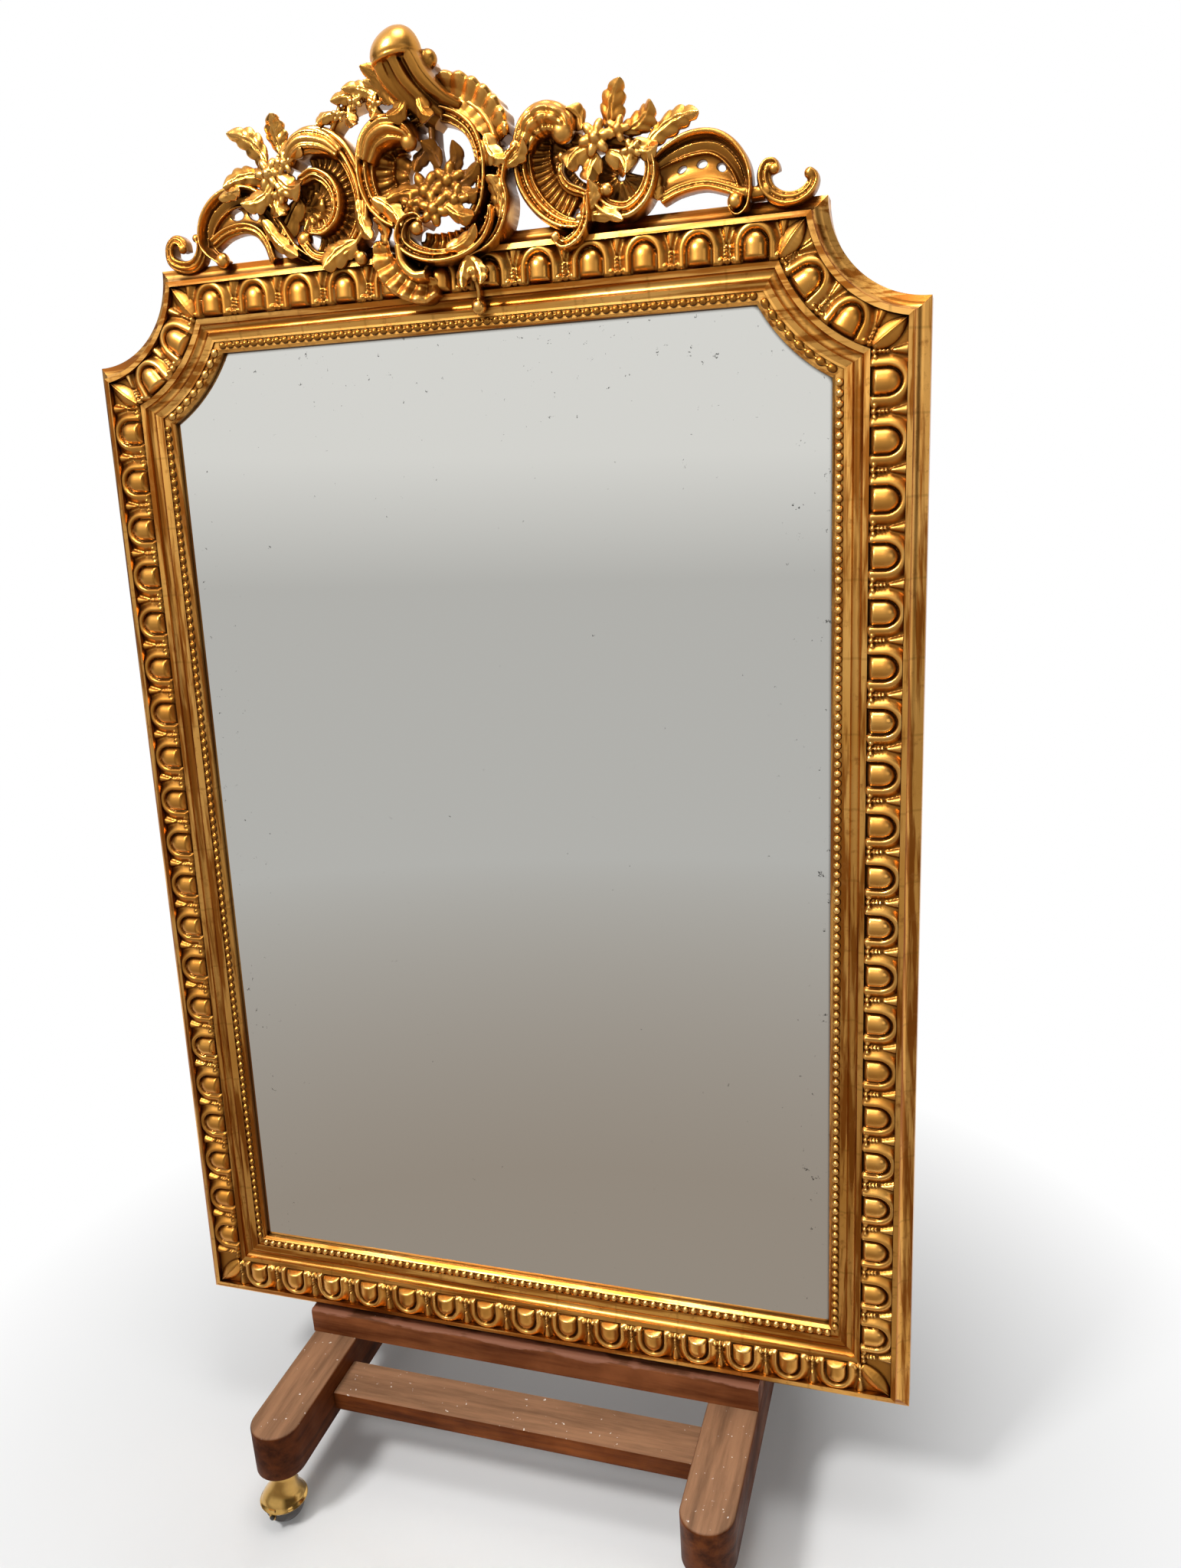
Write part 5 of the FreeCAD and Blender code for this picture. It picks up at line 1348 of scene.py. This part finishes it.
def rail_gilding(name, lap_axis, stretch):
    """Leaf on a plain moulding: lap lines across its length, streaks along it and painted shade in its hollows."""
    material, tree, shader = new_material(name)
    place = own_place(tree)
    leaf = group_node(tree, leaf_group)
    colour = ramp(tree, leaf.outputs["Tone"], [(0.0, MID_GOLD), (1.0, RUBBED_GOLD)])
    drawn_out = tree.nodes.new("ShaderNodeMapping")
    drawn_out.inputs["Scale"].default_value = stretch
    tree.links.new(place, drawn_out.inputs["Vector"])
    streaks = spread_between(tree, noise(tree, drawn_out.outputs["Vector"], STREAK, 4, 0.6), 0.46, 0.56)
    colour = blend_colours(tree, streaks, colour, STREAK_SHADE, "MULTIPLY")
    laps = tree.nodes.new("ShaderNodeTexWave")
    laps.bands_direction = lap_axis
    laps.inputs["Scale"].default_value = LAP_SCALE
    laps.inputs["Distortion"].default_value = 0.5
    tree.links.new(place, laps.inputs["Vector"])
    lap_line = spread_between(tree, laps.outputs["Fac"], 0.995, 1.0)
    colour = blend_colours(tree, combine(tree, "MULTIPLY", lap_line, 0.30), colour, SHADE_GOLD)
    colour = blend_colours(tree, leaf.outputs["Wear"], colour, RED_WEAR)
    # Painted shade: the moulding's hollows are darkened.
    colour = blend_colours(tree, openness(tree, 0.016, 0.35, 0.95), SHADE_GOLD, colour)
    raw = blend_colours(tree, streaks, RAW_WOOD, DARK_WOOD)
    colour = blend_colours(tree, leaf.outputs["Gilt"], raw, colour)
    tree.links.new(colour, shader.inputs["Base Color"])
    tree.links.new(leaf.outputs["Gilt"], shader.inputs["Metallic"])
    shader.inputs["Specular IOR Level"].default_value = LEAF_SHINE
    shader.inputs["Roughness"].default_value = 0.32
    tree.links.new(bump(tree, leaf.outputs["Grain"], 0.10, 0.0006), shader.inputs["Normal"])
    return material


stile_gold = rail_gilding("stile_gold", "Z", (1.0, 1.0, 0.04))
cross_gold = rail_gilding("cross_gold", "X", (0.04, 1.0, 1.0))


def finish_node(name, material):
    """Gives a CAD node its material."""
    mesh = nodes[name].data
    mesh.materials.clear()
    mesh.materials.append(material)


rails = [name for name in nodes if name.startswith("frame_")]
for name in rails:
    finish_node(name, stile_gold if name.endswith("_stile") else cross_gold)
print(len(rails), "gilt rails")

# %% [markdown]
# ### Mirror glass
#
# Old silvering is a little grey, with black specks where damp came in from the edges, and painted shade near
# the rebate. A metal with hardly any roughness stands for the glass and the silver behind it.

# %% Old mirror glass
SILVER = (0.88, 0.88, 0.855)
BLACK_SPECK = (0.03, 0.03, 0.028)
REBATE_SHADE = (0.10, 0.08, 0.055)

glass, glass_tree, glass_shader = new_material("silvered_glass")
glass_place = own_place(glass_tree)
glass_x, _, glass_z = parts_of(glass_tree, glass_place)
near_side = spread_between(glass_tree, combine(glass_tree, "ABSOLUTE", glass_x), 0.30, 0.42)
near_top = spread_between(glass_tree, glass_z, 1.30, 1.56)
near_edge = combine(glass_tree, "MAXIMUM", near_side, near_top)
foxing = noise(glass_tree, glass_place, 75, 5, 0.75)
foxing = combine(glass_tree, "MULTIPLY_ADD", near_edge, 0.065, foxing)
specks = spread_between(glass_tree, foxing, 0.705, 0.745)
glass_colour = blend_colours(glass_tree, specks, SILVER, BLACK_SPECK)
# Painted shade: the glass darkens close to the frame's rebate.
clear = openness(glass_tree, 0.007, 0.50, 0.80)
glass_colour = blend_colours(glass_tree, clear, REBATE_SHADE, glass_colour)
glass_tree.links.new(glass_colour, glass_shader.inputs["Base Color"])
glass_shader.inputs["Metallic"].default_value = 1.0
glass_shader.inputs["Roughness"].default_value = 0.03
finish_node("mirror_plate", glass)
print("silvered glass")

# %% [markdown]
# ### Stand and metal
#
# The stand is worn varnished wood. Its figure is noise drawn out along the timber, its upper faces are
# painted paler, partly as scuffs and partly as light from above, and hold a few drops of paint, and the
# ledge's upper edge is chipped. One group serves all timbers, the raw pine of the back too. Small bevels
# soften the stand's edges. The castors are polished brass, dull in places and with painted shade in their
# hollows.

# %% Wood, brass and iron
grain_group = bpy.data.node_groups.new("timber", "ShaderNodeTree")
grain_group.interface.new_socket("Place", in_out="INPUT", socket_type="NodeSocketVector")
for socket_name in ("Figure", "Blotch", "Specks", "Upward"):
    grain_group.interface.new_socket(socket_name, in_out="OUTPUT", socket_type="NodeSocketFloat")
grain_in = grain_group.nodes.new("NodeGroupInput").outputs["Place"]
grain_out = grain_group.nodes.new("NodeGroupOutput")
plain_place = own_place(grain_group)
figure = spread_between(grain_group, noise(grain_group, grain_in, 48, 7, 0.70), 0.36, 0.60)
grain_group.links.new(figure, grain_out.inputs["Figure"])
blotch = spread_between(grain_group, noise(grain_group, plain_place, 11, 4), 0.36, 0.64)
grain_group.links.new(blotch, grain_out.inputs["Blotch"])
specks = spread_between(grain_group, noise(grain_group, plain_place, 170, 2), 0.715, 0.735)
grain_group.links.new(specks, grain_out.inputs["Specks"])
facing = grain_group.nodes.new("ShaderNodeNewGeometry").outputs["Normal"]
upward_face = spread_between(grain_group, parts_of(grain_group, facing)[2], 0.45, 0.9)
grain_group.links.new(upward_face, grain_out.inputs["Upward"])


WORN_PINK = (0.31, 0.13, 0.075)
BLOTCH_SHADE = (0.62, 0.56, 0.52)
PAINT_DROPS = (0.72, 0.68, 0.62)
UPPER_FACE_FIGURE = 0.52


def timber(name, stretch, dark, light, scuffed_and_top_lit, worn_edge=None):
    """Worn varnished wood: its figure runs along one axis; scuffs and painted top light make upper faces paler.

    Above the height of a worn edge the varnish is chipped away.
    """
    material, tree, shader = new_material(name)
    mapping = tree.nodes.new("ShaderNodeMapping")
    mapping.inputs["Scale"].default_value = stretch
    place = own_place(tree)
    height = parts_of(tree, place)[2]
    tree.links.new(place, mapping.inputs["Vector"])
    grain = group_node(tree, grain_group)
    tree.links.new(mapping.outputs["Vector"], grain.inputs["Place"])
    colour = ramp(tree, grain.outputs["Figure"], [(0.0, dark), (1.0, light)])
    colour = blend_colours(tree, grain.outputs["Blotch"], colour, BLOTCH_SHADE, "MULTIPLY")
    lines = tuple(part * UPPER_FACE_FIGURE for part in scuffed_and_top_lit)
    worn_and_top_lit = ramp(tree, grain.outputs["Figure"], [(0.0, lines), (1.0, scuffed_and_top_lit)])
    # Scuffs and painted top light: faces that look up take the paler colour.
    colour = blend_colours(tree, grain.outputs["Upward"], colour, worn_and_top_lit)
    drops = combine(tree, "MULTIPLY", grain.outputs["Specks"], grain.outputs["Upward"])
    colour = blend_colours(tree, drops, colour, PAINT_DROPS)
    if worn_edge:
        ragged = combine(tree, "MULTIPLY_ADD", grain.outputs["Blotch"], 0.007, height)
        ragged = combine(tree, "MULTIPLY_ADD", grain.outputs["Figure"], 0.005, ragged)
        edge = spread_between(tree, ragged, worn_edge, worn_edge + 0.002)
        colour = blend_colours(tree, edge, colour, WORN_PINK)
    tree.links.new(colour, shader.inputs["Base Color"])
    shader.inputs["Specular IOR Level"].default_value = 0.08
    tree.links.new(value_between(tree, grain.outputs["Blotch"], 0.38, 0.62), shader.inputs["Roughness"])
    tree.links.new(bump(tree, grain.outputs["Figure"], 0.18, 0.0006), shader.inputs["Normal"])
    return material


DARK_BROWN = (0.050, 0.012, 0.0025)
BROWN = (0.165, 0.043, 0.008)
SCUFFED_AND_TOP_LIT = (0.30, 0.155, 0.082)
LEDGE_TOP = 0.206
ALONG_X = (0.08, 1.0, 1.0)
ALONG_Y = (1.0, 0.08, 1.0)
ALONG_Z = (1.0, 1.0, 0.08)
LONG_BOARD = (1.0, 1.0, 0.06)
RED_BROWN = ((0.075, 0.018, 0.004), (0.250, 0.066, 0.012))
LEDGE_BROWN = ((0.125, 0.035, 0.011), (0.290, 0.095, 0.032))
POST_BROWN = ((0.030, 0.010, 0.004), (0.085, 0.030, 0.011))
PINE = ((0.20, 0.115, 0.05), (0.36, 0.23, 0.12))
LEDGE_SCUFFED_AND_TOP_LIT = (0.19, 0.075, 0.036)
POST_SCUFFED_AND_TOP_LIT = (0.18, 0.09, 0.05)
BRASS = (0.72, 0.44, 0.13)
DULL_BRASS = (0.52, 0.30, 0.085)
BRASS_SHADE = (0.07, 0.035, 0.012)
IRON = (0.06, 0.055, 0.05)
BALL_BLACK = (0.035, 0.026, 0.022)
WELD_REACH = 0.00005
EDGE_RADIUS = 0.0025

foot_wood = timber("foot_wood", ALONG_Y, DARK_BROWN, BROWN, SCUFFED_AND_TOP_LIT)
rail_wood = timber("rail_wood", ALONG_X, *RED_BROWN, SCUFFED_AND_TOP_LIT)
ledge_wood = timber("ledge_wood", ALONG_X, *LEDGE_BROWN, LEDGE_SCUFFED_AND_TOP_LIT, LEDGE_TOP + 0.0035)
post_wood = timber("post_wood", ALONG_Z, *POST_BROWN, POST_SCUFFED_AND_TOP_LIT)
pine = timber("pine_board", LONG_BOARD, *PINE, PINE[1])
brass, brass_tree, brass_shader = new_material("polished_brass")
tarnish = spread_between(brass_tree, noise(brass_tree, own_place(brass_tree), 30, 3), 0.40, 0.70)
brass_colour = blend_colours(brass_tree, tarnish, BRASS, DULL_BRASS)
# Painted shade: the brass darkens in its hollows.
clear = openness(brass_tree, 0.012, 0.30, 0.85)
brass_colour = blend_colours(brass_tree, clear, BRASS_SHADE, brass_colour)
brass_tree.links.new(brass_colour, brass_shader.inputs["Base Color"])
brass_shader.inputs["Metallic"].default_value = 1.0
brass_shader.inputs["Roughness"].default_value = 0.17
iron, _, iron_shader = new_material("dark_iron")
iron_shader.inputs["Base Color"].default_value = (*IRON, 1)
iron_shader.inputs["Metallic"].default_value = 0.8
iron_shader.inputs["Roughness"].default_value = 0.55
ball_paint, _, ball_shader = new_material("castor_ball")
ball_shader.inputs["Base Color"].default_value = (*BALL_BLACK, 1)
ball_shader.inputs["Roughness"].default_value = 0.35

FINISHES = (
    ("_foot", foot_wood), ("_post", post_wood), ("_brace", post_wood),
    ("stand_stretcher", rail_wood), ("stand_cross_rail", rail_wood), ("stand_ledge", ledge_wood),
    ("_hood", brass), ("castor_plates", brass), ("_wheel", ball_paint),
    ("_axle", iron), ("hanging_plates", iron), ("crest_straps", iron),
    ("back_board", pine), ("glass_blocks", pine),
)
finished = 0
for name in nodes:
    for ending, material in FINISHES:
        if name.endswith(ending):
            finish_node(name, material)
            finished += 1
    if name.startswith("stand_"):
        weld = nodes[name].modifiers.new("weld", "WELD")
        weld.merge_threshold = WELD_REACH
        soft = nodes[name].modifiers.new("soft edges", "BEVEL")
        soft.width = EDGE_RADIUS
        soft.segments = 3
        soft.limit_method = "ANGLE"
print(finished, "pieces of wood and metal")

# %% [markdown]
# ## Screws on the back
#
# The hanging plates and the crest's straps are held by slotted round-head screws. A head is a thin disc with
# two bevelled halves on it, and the gap between them is the slot.

# %% Screws
HEAD_RADIUS = 4.4
SLOT_HALF = 0.6
PLATE_FACE = 31.0
STRAP_FACE = 7.0
STRAP_PLACES = (-165, 48, 112)
# A screw: how far above the eye or the frame's top it sits, and how its slot is turned.
EYE_SCREWS = ((-46, 20), (-24, 75))
STRAP_SCREWS = ((PLATE_FACE, -22, 40), (PLATE_FACE, -54, 110), (STRAP_FACE, 24, 65), (STRAP_FACE, 48, 10))


def screw_head(x, y, z, turn):
    """A slotted screw head on a face that looks back."""
    full = np.linspace(0, 2 * math.pi, 28, endpoint=False)
    disc = HEAD_RADIUS * np.column_stack([np.cos(full), np.sin(full)])
    reach = math.acos(SLOT_HALF / HEAD_RADIUS)
    bow = np.linspace(-reach, reach, 17)
    half = HEAD_RADIUS * np.column_stack([np.cos(bow), np.sin(bow)])
    middle = np.array([HEAD_RADIUS / 2, 0])
    crown = middle + (half - middle) * 0.78
    crown[[0, -1], 0] = SLOT_HALF
    stacks = [[(disc, 0.0), (disc, 0.9)]]
    for side in (-1, 1):
        stacks.append([(half * side, 0.8), (half * side, 1.5), (crown * side, 2.2)])
    angle = math.radians(turn)
    parts = []
    for stack in stacks:
        rings = []
        for outline, height in stack:
            head_x = x + outline[:, 0] * math.cos(angle) - outline[:, 1] * math.sin(angle)
            head_z = z + outline[:, 0] * math.sin(angle) + outline[:, 1] * math.cos(angle)
            rings.append(np.column_stack([head_x, np.full(len(outline), y + height), head_z]))
        parts.append(tube(rings))
    return merged(parts)


heads = []
for x in (EYE_PLACE[0], -EYE_PLACE[0]):
    for rise, turn in EYE_SCREWS:
        heads.append(screw_head(x, PLATE_FACE, EYE_PLACE[2] + rise, turn))
for x in STRAP_PLACES:
    for face, rise, turn in STRAP_SCREWS:
        heads.append(screw_head(x, face, FRAME_HEIGHT + rise, turn))
screws_mesh = mesh_of("back_screws", heads)
screws_mesh.materials.append(iron)
screws = new_object("back_screws", screws_mesh)
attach(screws, "mirror")
print(len(heads), "screws")

# %% [markdown]
# ## Castor hoods
#
# A spun brass bell: a collar under the foot, a narrow neck, a flaring skirt and a rolled rim that leaves the
# foot of the ball in view. The collar turns about the swivel, the rim sits over the ball, so the rings
# of one profile slide from one axis to the other. Two lugs carry the axle.

# %% Castor hoods
# A ring of the bell: its height, its radius, and its share of the way from the ball's axis to the stem's.
HOOD_RINGS = [
    (93.4, 12.6, 1), (89, 13, 1), (88, 14.5, 1), (86.5, 16.6, 1), (84, 17.4, 1),
    (81.5, 16.6, 1), (80, 14.6, 1), (77, 14.2, 0.95), (73, 15.2, 0.85), (68, 16.8, 0.7),
    (62, 18.8, 0.5), (56, 21, 0.25), (50, 23.8, 0.08), (45, 26.8, 0), (40.5, 29.4, 0),
    (37, 30.6, 0), (36.2, 32, 0), (34.4, 32.9, 0), (32.6, 32, 0), (31.8, 30.6, 0),
]
HOOD_AROUND = 72
INNER_RADIUS = 29.4
INNER_ANGLES = np.linspace(0.13, 1.5, 10)
SHARP_DEGREES = 50
LUG_HALF = 4.8
LUG_FACES = (29.3, 31.8)
LUG_TOP = 40.0


def hood_ring(centre, height, radius):
    """A level ring about a castor's axis."""
    angle = np.linspace(0, 2 * math.pi, HOOD_AROUND, endpoint=False)
    x = centre[0] + radius * np.cos(angle)
    return np.column_stack([x, centre[1] + radius * np.sin(angle), np.full(HOOD_AROUND, height)])


def lug(axle, side):
    """A rounded lug that hangs from the rim beside the ball and holds one end of the axle."""
    turn = np.linspace(math.pi, 2 * math.pi, 17)
    rise = LUG_TOP - axle[2]
    x = np.concatenate([[LUG_HALF, -LUG_HALF], LUG_HALF * np.cos(turn)[1:-1]])
    z = np.concatenate([[rise, rise], LUG_HALF * np.sin(turn)[1:-1]])
    rings = []
    for reach in LUG_FACES:
        y = np.full(len(x), axle[1] + side * reach)
        rings.append(np.column_stack([axle[0] + x, y, axle[2] + z]))
    return tube(rings)


for joint in frame["joints"]:
    if not joint["name"].endswith("_roll"):
        continue
    corner = joint["name"].removesuffix("_roll")
    axle_place = np.array(joint["pos_m"], float) / MM
    stem = named(frame["joints"], corner + "_swivel")
    stem_place = np.array(stem["pos_m"], float) / MM
    rings = []
    for height, radius, share in HOOD_RINGS:
        rings.append(hood_ring(axle_place + (stem_place - axle_place) * share, height, radius))
    for lift_angle in INNER_ANGLES:
        height = axle_place[2] + INNER_RADIUS * math.sin(lift_angle)
        rings.append(hood_ring(axle_place, height, INNER_RADIUS * math.cos(lift_angle)))
    parts = [tube(rings), lug(axle_place, -1), lug(axle_place, 1)]
    points, faces = merged(parts)
    hood_mesh = bpy.data.meshes.new(corner + "_hood")
    hood_mesh.from_pydata(points * MM, [], faces)
    hood_mesh.shade_smooth()
    hood_mesh.materials.append(brass)
    hood = new_object(corner + "_bell", hood_mesh)
    split = hood.modifiers.new("sharp edges", "EDGE_SPLIT")
    split.split_angle = math.radians(SHARP_DEGREES)
    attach(hood, "castor_" + corner)
    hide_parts(f"castor_{corner}_hood")
print("four bell hoods")
